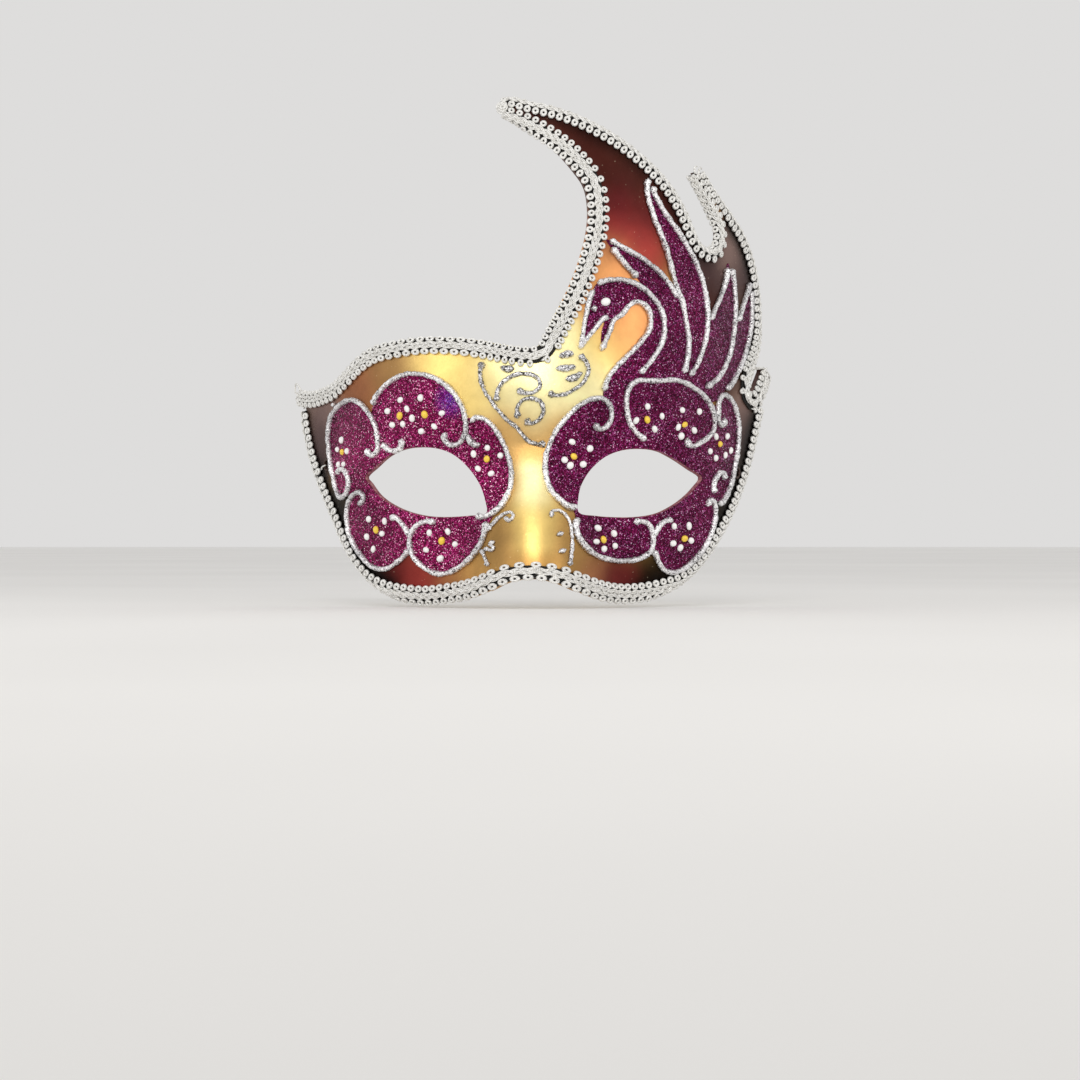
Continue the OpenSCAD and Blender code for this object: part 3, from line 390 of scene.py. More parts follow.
LEFT_GLITTER = (
    part_of(LEFT_TEMPLE_PATH, 5, 16) + [[-79.4, -5.6]] + part_of(LEFT_CHEEK_OUTER_PATH, 4, 15)
    + part_of(LEFT_CHEEK_INNER_PATH, 4, 12) + part_of(LEFT_NOSE_PATH, 9, 1) + [[-23.6, 21.6]]
    + part_of(LEFT_BROW_PATH, 8, 0)
)
RIGHT_GLITTER = (
    [[13.6, -12.6]] + part_of(RIGHT_NOSE_PATH, 1, 12) + [[24.4, 29.4], [29, 30.2]]
    + part_of(SWAN_BODY_PATH, 6, 15) + part_of(RIGHT_TEMPLE_PATH, 4, 15)
    + part_of(RIGHT_CHEEK_OUTER_PATH, 2, 12) + part_of(RIGHT_CHEEK_INNER_PATH, 4, 12)
)
NECK_GLITTER = (
    part_of(SWAN_FACE_PATH, 0, 15) + [[24.2, 52.4], [25.2, 56]]
    + part_of(SWAN_BEAK_PATH, 7, 0) + part_of(SWAN_NECK_PATH, 0, 11)
    + [[36.4, 34.2], [31, 29.6], [25, 28.8]]
)
WING_GLITTER = (
    part_of(SWAN_NECK_PATH, 11, 4) + FIRST_FEATHER[1][::-1] + [[26, 86]]
    + part_of(FIRST_FEATHER[0], 0, 7) + part_of(SECOND_FEATHER[0], 8, 0)
    + part_of(SECOND_FEATHER[1], 0, 8) + THIRD_FEATHER[0][::-1] + [[85.2, 80.6]]
    + part_of(THIRD_FEATHER[1], 0, 5) + FOURTH_FEATHER[0][::-1]
    + part_of(FOURTH_FEATHER[1], 0, 8) + [[77.4, 29.6], [70.4, 28.2]]
    + part_of(SWAN_BODY_PATH, 13, 7)
)
LEFT_TIE = [-95.6, 6]
RIGHT_TIE = [91.4, 3]
TIE_HOLE_RADIUS = 1.95
OUTLINE_STEP = 1.2
RIM_CLEARANCE = 0.5
PAINT_GAP = 0.02
GLITTER_THICKNESS = 0.3
RELIEF_BASE = 0.38  # height of the lines and dots that lie on glitter
BARE_BASE = 0.08  # and of the lines that lie on the bare paint
DOT_BASE = RELIEF_BASE - 0.05
LEFT_EYE_CUT = smooth(LEFT_EYE, OUTLINE_STEP, closed=True)
RIGHT_EYE_CUT = smooth(RIGHT_EYE, OUTLINE_STEP, closed=True)


def rim_part(points):
    """The shell's edge stands back from the braid that turns round it."""
    path = smooth([p[:2] for p in points], OUTLINE_STEP)
    return path - RIM_CLEARANCE * to_the_left(headings(path))


RIM = np.vstack([
    rim_part(BROW_RIM), rim_part(CREST_RIM), rim_part(SIDE_RIM), HORN_END,
    rim_part(CHEEK_RIM), rim_part(TEMPLE_RIM), TEMPLE_END,
])

# ---------------------------------------------------------------- modelling helpers


def deselect():
    if bpy.context.object and bpy.context.object.mode != "OBJECT":
        bpy.ops.object.mode_set(mode="OBJECT")
    bpy.ops.object.select_all(action="DESELECT")


def choose(*pieces):
    deselect()
    for piece in pieces:
        piece.select_set(True)
    bpy.context.view_layer.objects.active = pieces[0]
    return pieces[0]


def edit(piece, *steps):
    """Runs edit-mode steps on the whole of a piece."""
    choose(piece)
    bpy.ops.object.mode_set(mode="EDIT")
    bpy.ops.mesh.select_all(action="SELECT")
    for step in steps:
        step()
    bpy.ops.object.mode_set(mode="OBJECT")


def flat_points(piece):
    """The vertices of a flat piece as rows of u, z, h."""
    co = np.empty(len(piece.data.vertices) * 3, np.float32)
    piece.data.vertices.foreach_get("co", co)
    co = co.reshape(-1, 3).astype(float) / MM
    return np.stack([co[:, 0], co[:, 2], -co[:, 1]], axis=1)


def put_points(piece, co):
    piece.data.vertices.foreach_set("co", np.asarray(co, np.float32).ravel())
    piece.data.update()


def put_flat(piece, points):
    put_points(piece, np.stack([points[:, 0], -points[:, 2], points[:, 1]], axis=1) * MM)


def wrap(piece):
    put_points(piece, on_face(flat_points(piece)) * MM)


def named(piece, name):
    piece.name = name
    piece.data.name = name
    return piece


def join(name, pieces):
    choose(*pieces)
    if len(pieces) > 1:
        bpy.ops.object.join()
    return named(pieces[0], name)


def copy_of(piece):
    choose(piece)
    bpy.ops.object.duplicate()
    return bpy.context.object


def modify(piece, kind, **settings):
    choose(piece)
    modifier = piece.modifiers.new(kind.title(), kind)
    for key, value in settings.items():
        setattr(modifier, key, value)
    bpy.ops.object.modifier_apply(modifier=modifier.name)


def smooth_shade(piece, angle=None):
    choose(piece)
    if angle is None:
        bpy.ops.object.shade_smooth()
    else:
        bpy.ops.object.shade_smooth_by_angle(angle=math.radians(angle))


def finish(piece, material=None, replaced=()):
    """Gives a piece its material, and its place in the mask."""
    if material:
        piece.data.materials.append(material)
    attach(piece, BODY)
    if replaced:
        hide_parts(*replaced)
    return piece


def prism(outline, low, high):
    """A closed upright block on an outline, from height low to height high."""
    points = np.array(outline, float)
    x, y = points[:, 0], points[:, 1]
    if np.sum(x * np.roll(y, -1) - y * np.roll(x, -1)) < 0:
        points = points[::-1]
    deselect()
    bpy.ops.mesh.primitive_circle_add(vertices=len(points), fill_type="NGON")
    block = bpy.context.object
    put_flat(block, np.column_stack([points, np.full(len(points), low)]))
    edit(
        block,
        lambda: bpy.ops.mesh.extrude_region_move(
            TRANSFORM_OT_translate={"value": (0, -(high - low) * MM, 0)}
        ),
        lambda: bpy.ops.mesh.select_all(action="SELECT"),
        lambda: bpy.ops.mesh.normals_make_consistent(inside=False),
    )
    return block


def flat_slab(start, end, low, high, cell):
    """A closed rectangular sheet of fine cells, from height low to height high."""
    start, end = np.array(start, float), np.array(end, float)
    count = np.ceil((end - start) / cell).astype(int)
    deselect()
    bpy.ops.mesh.primitive_grid_add(
        x_subdivisions=int(count[0]), y_subdivisions=int(count[1]), size=2,
        rotation=(math.pi / 2, 0, 0),
    )
    sheet = bpy.context.object
    bpy.ops.object.transform_apply(location=True, rotation=True, scale=True)
    points = flat_points(sheet) * MM
    points[:, :2] = (start + end) / 2 + points[:, :2] * (end - start) / 2
    points[:, 2] = high
    put_flat(sheet, points)
    modify(sheet, "SOLIDIFY", thickness=(high - low) * MM, offset=-1)
    return sheet


def cut_sheet(name, outline, low, high, cell, holes):
    """A flat sheet of fine cells, cut to an outline, with holes."""
    outline = np.array(outline, float)
    sheet = flat_slab(outline.min(axis=0) - 2, outline.max(axis=0) + 2, low, high, cell)
    for shape, operation in [(outline, "INTERSECT")] + [(hole, "DIFFERENCE") for hole in holes]:
        block = prism(shape, low - 3, high + 3)
        modify(sheet, "BOOLEAN", object=block, operation=operation, solver="EXACT")
        bpy.data.objects.remove(block)
    if not sheet.data.polygons:
        raise RuntimeError(name + " was cut away")
    return named(sheet, name)


def tube(name, paths, radii, sides=8, closed=False):
    """Round cords along flat paths of u, z, h, with a radius for each point."""
    deselect()
    bpy.ops.curve.primitive_nurbs_path_add()
    cord = bpy.context.object
    curve = cord.data
    curve.splines.clear()
    curve.dimensions = "3D"
    curve.bevel_depth = MM
    curve.bevel_resolution = sides // 2 - 2
    curve.use_fill_caps = not closed
    for path, radius in zip(paths, radii):
        spline = curve.splines.new("POLY")
        spline.points.add(len(path) - 1)
        spline.use_cyclic_u = closed
        rows = np.column_stack([path[:, 0] * MM, -path[:, 2] * MM, path[:, 1] * MM,
                                np.ones(len(path))])
        spline.points.foreach_set("co", rows.ravel())
        spline.points.foreach_set("radius", np.broadcast_to(radius, len(path)).astype(float))
    bpy.ops.object.convert(target="MESH")
    return named(bpy.context.object, name)


def lathe(profile, sides):
    """A closed ring turned from a profile of radius and height, standing at the flat origin."""
    deselect()
    bpy.ops.mesh.primitive_circle_add(vertices=sides, radius=profile[0][0] * MM,
                                      rotation=(math.pi / 2, 0, 0))
    ring = bpy.context.object
    bpy.ops.object.transform_apply(location=True, rotation=True, scale=True)
    bpy.ops.object.mode_set(mode="EDIT")
    bpy.ops.mesh.select_all(action="SELECT")
    bpy.ops.transform.translate(value=(0, -profile[0][1] * MM, 0))
    for (radius, height), (last_radius, last_height) in zip(profile[1:] + profile[:1], profile):
        bpy.ops.mesh.extrude_region_move(
            TRANSFORM_OT_translate={"value": (0, (last_height - height) * MM, 0)}
        )
        share = radius / last_radius
        bpy.ops.transform.resize(value=(share, 1, share))
    bpy.ops.mesh.select_all(action="SELECT")
    bpy.ops.mesh.remove_doubles(threshold=0.00001)
    bpy.ops.mesh.normals_make_consistent(inside=False)
    bpy.ops.object.mode_set(mode="OBJECT")
    return ring


# ---------------------------------------------------------------- materials


def linear(colour):
    """A colour picked on screen as 0 to 255, for a socket."""
    part = np.array(colour, float) / 255
    part = np.where(part <= 0.04045, part / 12.92, ((part + 0.055) / 1.055) ** 2.4)
    return (*part.tolist(), 1)


class Finish:
    """A material under construction, with short ways to add and join its nodes."""

    def __init__(self, name):
        self.material = bpy.data.materials.new(name)
        self.material.use_nodes = True
        self.tree = self.material.node_tree
        self.shader = self.tree.nodes["Principled BSDF"]
        self.place = self.add("ShaderNodeTexCoord").outputs["Object"]

    def add(self, kind, links=None, **settings):
        node = self.tree.nodes.new(kind)
        for key, value in settings.items():
            if key.startswith("in_"):
                name = key[3:].replace("_", " ")
                node.inputs[int(name) if name.isdigit() else name].default_value = value
            else:
                setattr(node, key, value)
        for key, source in (links or {}).items():
            self.tree.links.new(source, node.inputs[key])
        return node

    def set(self, **values):
        for key, value in values.items():
            socket = self.shader.inputs[key.replace("_", " ")]
            if isinstance(value, bpy.types.NodeSocket):
                self.tree.links.new(value, socket)
            else:
                socket.default_value = value

    def noise(self, scale, detail=3, roughness=0.5):
        node = self.add("ShaderNodeTexNoise", {"Vector": self.place}, in_Scale=scale,
                        in_Detail=detail, in_Roughness=roughness)
        return node.outputs["Fac"]

    def cells(self, scale, feature="F1"):
        return self.add("ShaderNodeTexVoronoi", {"Vector": self.place}, feature=feature,
                        in_Scale=scale)

    def ramp(self, source, stops, interpolation="LINEAR"):
        node = self.add("ShaderNodeValToRGB", {"Fac": source})
        ramp = node.color_ramp
        ramp.interpolation = interpolation
        while len(ramp.elements) < len(stops):
            ramp.elements.new(0.5)
        for element, (place, colour) in zip(ramp.elements, stops):
            element.position = place
            element.color = linear(colour)
        return node.outputs["Color"]

    def mix(self, factor, first, second, blend="MIX"):
        node = self.add("ShaderNodeMix", data_type="RGBA", blend_type=blend)
        for socket, value in ((node.inputs[0], factor), (node.inputs[6], first),
                              (node.inputs[7], second)):
            if isinstance(value, bpy.types.NodeSocket):
                self.tree.links.new(value, socket)
            else:
                socket.default_value = value
        return node.outputs[2]

    def grey(self, value):
        return self.add("ShaderNodeCombineColor", {0: value, 1: value, 2: value}).outputs[0]

    def span(self, source, low, high, start=0.0, end=1.0):
        """Turns a value from start to end into one from low to high."""
        node = self.add("ShaderNodeMapRange", {"Value": source}, in_1=start, in_2=end,
                        in_3=low, in_4=high)
        return node.outputs[0]

    def bump(self, height, strength, distance, normal=None):
        links = {"Height": height}
        if normal:
            links["Normal"] = normal
        node = self.add("ShaderNodeBump", links, in_Strength=strength, in_Distance=distance)
        return node.outputs["Normal"]

    def facets(self, colour, tilt):
        """Tilts each flake its own way, from the flake's random colour."""
        own = self.add("ShaderNodeVectorMath", {0: colour}, operation="SUBTRACT",
                       in_1=(0.5, 0.5, 0.5)).outputs[0]
        lean = self.add("ShaderNodeVectorMath", {0: own}, operation="SCALE", in_3=tilt).outputs[0]
        surface = self.add("ShaderNodeNewGeometry").outputs["Normal"]
        total = self.add("ShaderNodeVectorMath", {0: surface, 1: lean}, operation="ADD").outputs[0]
        return self.add("ShaderNodeVectorMath", {0: total}, operation="NORMALIZE").outputs[0]


def airbrushed_paint():
    m = Finish("airbrushed_satin_paint")
    # The paint attribute carries painted highlights, a painted reflection and painted shade as well
    # as the paint's own colours.
    paint = m.add("ShaderNodeAttribute", attribute_name="paint").outputs["Color"]
    grey = m.grey(m.span(m.noise(90, 4, 0.6), 0.86, 1.12, 0.3, 0.7))
    mottled = m.mix(1.0, paint, grey, "MULTIPLY")
    flake = m.cells(2600)
    glint = m.ramp(flake.outputs["Color"], [(0.0, (0, 0, 0)), (0.93, (0, 0, 0)),
                                            (1.0, (255, 240, 205))])
    m.set(
        Base_Color=m.mix(0.25, mottled, glint, "ADD"),
        Metallic=m.span(m.noise(260, 2), 0.55, 0.72, 0.3, 0.7),
        Roughness=m.span(m.noise(55, 5, 0.65), 0.28, 0.40, 0.3, 0.7),
        Specular_IOR_Level=0.15,
        Normal=m.bump(m.noise(900, 4, 0.6), 0.22, 0.0002,
                      m.bump(m.noise(70, 3), 0.15, 0.0008)),
    )
    return m.material


def paper_lining():
    m = Finish("papier_mache_lining")
    pulp = m.noise(420, 6, 0.7)
    m.set(
        Base_Color=m.ramp(pulp, [(0.3, (196, 184, 164)), (0.55, (226, 217, 200)),
                                 (0.75, (238, 231, 218))]),
        Roughness=m.span(pulp, 0.72, 0.95, 0.3, 0.7),
        Normal=m.bump(pulp, 0.5, 0.0004, m.bump(m.noise(60, 3), 0.4, 0.0012)),
    )
    return m.material


def cut_paper_edge():
    m = Finish("cut_paper_edge")
    pulp = m.noise(700, 5, 0.7)
    m.set(
        Base_Color=m.ramp(pulp, [(0.3, (84, 30, 44)), (0.5, (140, 78, 88)),
                                 (0.7, (196, 150, 150))]),
        Roughness=m.span(pulp, 0.6, 0.9, 0.3, 0.7),
        Normal=m.bump(pulp, 0.4, 0.0003),
    )
    return m.material


def glitter(name, stops, scale=3000, tilt=0.9, sheen=None):
    """Flakes of random tilt and colour. The sheen is a place and reach where some turn violet."""
    m = Finish(name)
    flake = m.cells(scale)
    own = m.add("ShaderNodeSeparateColor", {"Color": flake.outputs["Color"]})
    colour = m.ramp(own.outputs[0], stops)
    if sheen:
        place, reach = sheen
        away = m.add("ShaderNodeVectorMath", {0: m.place}, operation="DISTANCE", in_1=place)
        near = m.span(away.outputs["Value"], 0.75, 0, 0, reach)
        violet = m.ramp(own.outputs[2], [(0.3, (70, 6, 110)), (0.7, (110, 20, 190)),
                                         (1.0, (190, 150, 255))])
        colour = m.mix(near, colour, violet)
    grey = m.grey(m.span(m.noise(60, 3), 0.75, 1.2, 0.35, 0.65))
    normal = m.facets(flake.outputs["Color"], tilt)
    m.set(
        Base_Color=m.mix(1.0, colour, grey, "MULTIPLY"),
        Metallic=m.span(own.outputs[1], 0.35, 0.95),
        Roughness=m.span(own.outputs[2], 0.16, 0.5),
        Normal=m.bump(flake.outputs["Distance"], 0.5, 0.0001, normal),
        Specular_IOR_Level=0.2,
    )
    return m.material


THREAD_LAY = 0.34  # millimetres along a thread for one turn of its winding


def silver_thread():
    m = Finish("silver_gimp_thread")
    strand = m.add("ShaderNodeAttribute", attribute_name="strand").outputs["Fac"]
    turns = m.add("ShaderNodeMath", {0: strand}, operation="MULTIPLY",
                  in_1=2 * math.pi / THREAD_LAY)
    winding = m.span(m.add("ShaderNodeMath", {0: turns.outputs[0]}, operation="SINE").outputs[0],
                     0, 1, -1, 1)
    speck = m.cells(3400)
    own = m.add("ShaderNodeSeparateColor", {"Color": speck.outputs["Color"]})
    tone = m.ramp(own.outputs[0], [(0.0, (186, 184, 178)), (0.2, (234, 232, 226)),
                                   (0.6, (254, 253, 249)), (1.0, (255, 255, 255))])
    # Painted shade and highlight: the colour darkens in the grooves between the turns of the
    # winding and lightens a little on their crests.
    grey = m.grey(m.span(winding, 0.86, 1.05))
    m.set(
        Base_Color=m.mix(1.0, tone, grey, "MULTIPLY"),
        Metallic=0.2,
        Roughness=m.span(own.outputs[1], 0.2, 0.45),
        Normal=m.bump(winding, 0.5, 0.0001, m.facets(speck.outputs["Color"], 0.35)),
    )
    return m.material


def painted_shade_ground():
    """The tight cords under the braid, coloured near black as painted shade, for the shade they lie
    in under the loops.
    """
    m = Finish("braid_ground_cords")
    strand = m.add("ShaderNodeTexWave", {"Vector": m.place}, in_Scale=900, in_Distortion=2,
                   bands_direction="DIAGONAL").outputs["Fac"]
    m.set(
        Base_Color=m.ramp(strand, [(0.3, (8, 7, 7)), (0.8, (50, 48, 44))]),
        Metallic=0.4,
        Roughness=m.span(strand, 0.4, 0.6),
        Normal=m.bump(strand, 0.6, 0.0002),
    )
    return m.material


def raised_paint(name, deep, pale):
    m = Finish(name)
    cloud = m.noise(1500, 3)
    m.set(
        Base_Color=m.ramp(cloud, [(0.3, deep), (0.6, pale)]),
        Roughness=m.span(m.noise(2500, 3), 0.2, 0.4, 0.3, 0.7),
        Coat_Weight=0.4,
        Coat_Roughness=0.15,
        Normal=m.bump(cloud, 0.25, 0.0001),
    )
    return m.material


def lacquered_brass():
    m = Finish("lacquered_eyelet")
    wear = m.noise(900, 5, 0.6)
    m.set(
        Base_Color=m.ramp(wear, [(0.45, (64, 48, 44)), (0.62, (84, 66, 58)),
                                 (0.75, (128, 104, 84))]),
        Metallic=0.8,
        Roughness=m.span(wear, 0.28, 0.5, 0.3, 0.7),
        Normal=m.bump(m.noise(1800, 3), 0.2, 0.0001),
    )
    return m.material


# ---------------------------------------------------------------- paper shell

# Puffs of the airbrush over the gold ground: u, z, reach and the name of the paint
# Some puffs paint light and shade: cream and pale ones paint highlights, olive ones painted shade,
# mauve ones a painted reflection, near-black ones painted shade beside the braid.
PUFFS = [
    (0, 32, 13, "cream_gold_and_highlight"), (-10, 38, 9, "cream_gold_and_highlight"), (16, 36, 9, "cream_gold_and_highlight"),
    (9, 48, 7, "cream_gold_and_highlight"), (-27, 43, 8, "pale_gold_and_highlight"), (-20, 31, 8, "pale_gold_and_highlight"),
    (24, 46, 8, "pale_gold_and_highlight"), (-9, 18, 7, "gold"), (9, 16, 7, "gold"), (0, 9, 5, "gold"),
    (0, 1, 4.5, "cream_gold_and_highlight"), (0, -6, 4.5, "cream_gold_and_highlight"), (0, -14, 6, "pale_gold_and_highlight"),
    (-11, -2, 5, "gold"), (11, -2, 5, "gold"), (0, -23, 4.5, "pale_gold_and_highlight"), (0, -32, 6, "gold"),
    (-12, -18, 7, "olive_gold_shade"), (12, -18, 7, "olive_gold_shade"), (-13, -28, 7, "olive_gold_shade"),
    (12, -28, 7, "olive_gold_shade"), (-22, -34, 7, "gold"), (-40, 45, 8, "pale_gold_and_highlight"),
    (-51, 44, 8, "tan"), (-61, 41, 8, "tan"), (-70, 37, 8, "copper"), (-79, 33, 8, "copper"),
    (31, 50, 7, "orange"), (37, 58, 7, "orange"), (26, 68, 9, "orange"), (27, 77, 7, "orange"),
    (-29, -38, 7, "copper"), (19, -33, 5, "copper"), (52, 44, 9, "copper"),
    (50, 100, 7, "dark_maroon"), (56, 92, 6, "dark_maroon"), (61, 84, 6, "plum"),
    (66, 108, 5, "plum"), (68, 101, 5, "plum"), (80, 36, 5, "dark_maroon"),
    (37, 37, 3, "copper"), (27, 83, 5, "copper"), (29, 89, 6, "brick"), (-43, -37, 8, "brick"),
    (27, -36, 5, "burgundy"), (40, 84, 8, "brick"), (31, 95, 7, "burgundy"),
    (31, 101, 5, "burgundy"), (-54, -34, 7, "burgundy"), (43, 95, 7, "burgundy"),
    (34, -37, 5, "burgundy"), (28, 108, 9, "dark_maroon"), (22, 118, 10, "dark_maroon"),
    (38, 108, 9, "dark_maroon"), (10, 124, 10, "dark_maroon"), (-2, 130, 8, "dark_maroon"),
    (43, -38, 6, "near_black_edge_and_shade"), (-68, -28, 8, "near_black_edge_and_shade"), (56, -33, 9, "near_black_edge_and_shade"),
    (-100, 28, 8, "mauve_reflection"), (-101, 20, 7, "plum"), (-101, 10, 7, "plum"), (-92, 30, 6, "mauve_reflection"),
    (72, 77, 8, "plum"), (72, 64, 8, "dark_maroon"), (84, 70, 7, "plum"), (90, 56, 7, "plum"),
    (84, 40, 7, "dark_maroon"), (80, 86, 6, "mauve_reflection"), (89, 87, 8, "mauve_reflection"), (98, 77, 8, "plum"),
    (99, 28, 8, "mauve_reflection"), (97, 46, 7, "near_black_edge_and_shade"), (112, 38, 7, "plum"), (97, 17, 7, "plum"),
    (84, -2, 9, "near_black_edge_and_shade"), (-82, -12, 8, "near_black_edge_and_shade"), (70, -22, 9, "near_black_edge_and_shade"),
]
# Passes of the airbrush along the edges: points, reach, strength and the name of the paint
# The near-black passes and puffs are dark edge paint together with painted shade just inside the
# braid.
PASSES = [
    ([p[:2] for p in CHEEK_RIM[:13]], 7.5, 1.0, "near_black_edge_and_shade"),
    ([p[:2] for p in CHEEK_RIM[24:]], 7.0, 1.0, "near_black_edge_and_shade"),
    ([p[:2] for p in CREST_RIM[:15]], 5.0, 0.7, "near_black_edge_and_shade"),
    ([p[:2] for p in SIDE_RIM[3:11]], 5.5, 1.0, "near_black_edge_and_shade"),
    ([p[:2] for p in TEMPLE_RIM], 4.0, 0.7, "near_black_edge_and_shade"),
]


def sprayed(points, colours):
    """The paint at each point of the face, as linear colours, painted highlights, reflection and
    shade included.
    """
    u, z = points[:, 0], points[:, 1]
    ground = np.array(colours.gold[:3])
    total = np.full(len(u), 0.03)
    paint = total[:, None] * ground
    for x, y, reach, name in PUFFS:
        weight = np.exp(-((u - x) ** 2 + (z - y) ** 2) / reach ** 2)
        total += weight
        paint += weight[:, None] * np.array(getattr(colours, name)[:3])
    paint /= total[:, None]
    for path, reach, strength, name in PASSES:
        line = smooth(path, 2)
        nearest = np.full(len(u), 1e9)
        for x, y in line[:, :2]:
            nearest = np.minimum(nearest, (u - x) ** 2 + (z - y) ** 2)
        share = (strength * np.exp(-((nearest / reach ** 2) ** 1.5)))[:, None]
        paint = paint * (1 - share) + share * np.array(getattr(colours, name)[:3])
    return np.clip(paint, 0, 1)


def make_shell(sizes, colours):
    angles = np.linspace(0, 2 * math.pi, 33)[:-1]
    around = np.stack([np.cos(angles), np.sin(angles)], axis=1)
    holes = [LEFT_EYE_CUT, RIGHT_EYE_CUT] + [np.array(tie) + TIE_HOLE_RADIUS * around
                                             for tie in (LEFT_TIE, RIGHT_TIE)]
    shell = cut_sheet("paper_shell", RIM, -SHELL_THICKNESS, 0, sizes.shell_cell / MM, holes)
    points = flat_points(shell)
    paint = np.ones((len(points), 4), np.float32)
    paint[:, :3] = sprayed(points, colours)
    shell.data.attributes.new("paint", "FLOAT_COLOR", "POINT").data.foreach_set(
        "color", paint.ravel()
    )
    for material in (airbrushed_paint(), paper_lining()):
        shell.data.materials.append(material)
    for face in shell.data.polygons:
        if face.normal.y > 0.9:
            face.material_index = 1
    wrap(shell)
    smooth_shade(shell, 40)
    return finish(shell, replaced=["shell"])


def make_eye_edge(name, outline, material):
    """The rounded cut edge of an eye opening."""
    sides = 8
    path = np.column_stack([outline, np.full(len(outline), -SHELL_THICKNESS / 2)])
    edge = tube(name, [path], [SHELL_THICKNESS / 2 + 0.02], sides, closed=True)
    points = flat_points(edge)
    centre = np.repeat(path, sides, axis=0)
    points[:, :2] = centre[:, :2] + 0.35 * (points[:, :2] - centre[:, :2])
    put_flat(edge, points)
    wrap(edge)
    smooth_shade(edge)
    return finish(edge, material)


# ---------------------------------------------------------------- glitter, lines and dots


def granulate(piece, size, depth):
    """Raises small grains all over a piece."""
    grains = bpy.data.textures.new(piece.name + "_grains", "CLOUDS")
    grains.noise_scale = size
    grains.noise_depth = 1
    modify(piece, "DISPLACE", texture=grains, texture_coords="LOCAL", strength=depth, mid_level=0.5)
    bpy.data.textures.remove(grains)


def make_field(node, outline, material, sizes):
    field = cut_sheet(node + "_field", smooth(outline, OUTLINE_STEP, closed=True), PAINT_GAP,
                      PAINT_GAP + GLITTER_THICKNESS, sizes.glitter_cell / MM,
                      [LEFT_EYE_CUT, RIGHT_EYE_CUT])
    granulate(field, sizes.grain_size, sizes.glitter_relief)
    wrap(field)
    smooth_shade(field, 50)
    return finish(field, material, [node])


BEAD_MIDDLE = 0.2  # how far a bead's middle stands over its base
SHORT_BEAD = 5.5  # times its width: a shorter bead is a single tapered stroke


def make_bead(node, paths, material, sizes, width, base, blob=1.35):
    """Beads of glitter glue, uneven along their length and grainy all over."""
    rng = np.random.default_rng(sum(node.encode()))
    centre = base + BEAD_MIDDLE
    lines, radii = [], []
    for points in paths:
        path = smooth([p[:2] for p in points], sizes.bead_step / MM)
        count = len(path)
        along = distances(path)
        evenly = np.arange(count) * sizes.bead_step / MM
        wave = np.interp(evenly, np.arange(0, 400, 1.7), rng.uniform(-1, 1, 236))
        near_end = np.minimum(along, along[-1] - along)
        ends = np.sqrt(np.clip(near_end / (width / 2), 0.12, 1))
        if along[-1] < SHORT_BEAD * width:
            ends *= 1 + (blob - 1) * near_end / near_end.max()
        else:
            ends *= 1 + (blob - 1) * np.exp(-((near_end / width - 0.6) / 0.7) ** 2)
        radii.append(width / 2 * (1 + 0.14 * wave) * ends)
        sway = np.interp(evenly, np.arange(0, 400, 2.3), rng.uniform(-0.12, 0.12, 174))
        path = path + sway[:, None] * to_the_left(headings(path))
        lines.append(np.column_stack([path, np.full(count, centre)]))
    bead = tube(node + "_bead", lines, radii, 10)
    granulate(bead, sizes.grain_size, sizes.bead_relief)
    points = flat_points(bead)
    points[:, 2] = np.maximum(centre + (points[:, 2] - centre) * 1.35, PAINT_GAP)
    put_flat(bead, points)
    wrap(bead)
    smooth_shade(bead)
    return finish(bead, material, [node])


def make_dots(node, places, diameter, base, material):
    """Drops of paint that dried as low, uneven domes."""
    rng = np.random.default_rng(sum(node.encode()))
    deselect()
    bpy.ops.mesh.primitive_uv_sphere_add(segments=20, ring_count=12, radius=diameter / 2 * MM)
    drop = bpy.context.object
    points = flat_points(drop)
    points[:, 2] = np.maximum(points[:, 2] * 0.84, -0.1)
    put_flat(drop, points)
    drops = [copy_of(drop) for _ in places]
    bpy.data.objects.remove(drop)
    for piece, (x, y) in zip(drops, places):
        angle, long, size = rng.uniform(0, math.pi), rng.uniform(1, 1.3), rng.uniform(0.88, 1.08)
        along = np.array([math.cos(angle), math.sin(angle)])
        put = points.copy()
        put[:, :2] += np.outer(put[:, :2] @ along, along) * (long - 1)
        put *= size / math.sqrt(long)
        lean = 1 + 0.12 * (points[:, :2] @ along) / diameter
        put[:, 2] = put[:, 2] * lean + base
        put[:, :2] += (x, y)
        put_flat(piece, put)
        wrap(piece)
    dots = join(node + "_drops", drops)
    smooth_shade(dots)
    return finish(dots, material, [node])


# ---------------------------------------------------------------- gimp braid

BRAID_GAP = 0.15
RIM_BEND = SHELL_THICKNESS / 2 + BRAID_GAP
BRAID_WIDTH = 8.4
LOOP_PITCH = 3.2
LOOP_SEGMENTS = (14, 7)
LOOP_VERTICES = LOOP_SEGMENTS[0] * LOOP_SEGMENTS[1]
LOOP_REACH = 0.86
LOOP_CORD = 0.55
LEG_CORD = 0.42
PLAIT_CORD = 0.28
PLAIT_SWING = 1.0
GROUND_EDGES = (1.7, 7.5)
GROUND_THICKNESS = 0.4
BRAID_THICKNESS = 1.8


def mark_strand(piece, values):
    """Stores how far along its thread each vertex is, for the thread's winding."""
    layer = piece.data.attributes.new("strand", "FLOAT", "POINT")
    layer.data.foreach_set("value", np.asarray(values, np.float32))


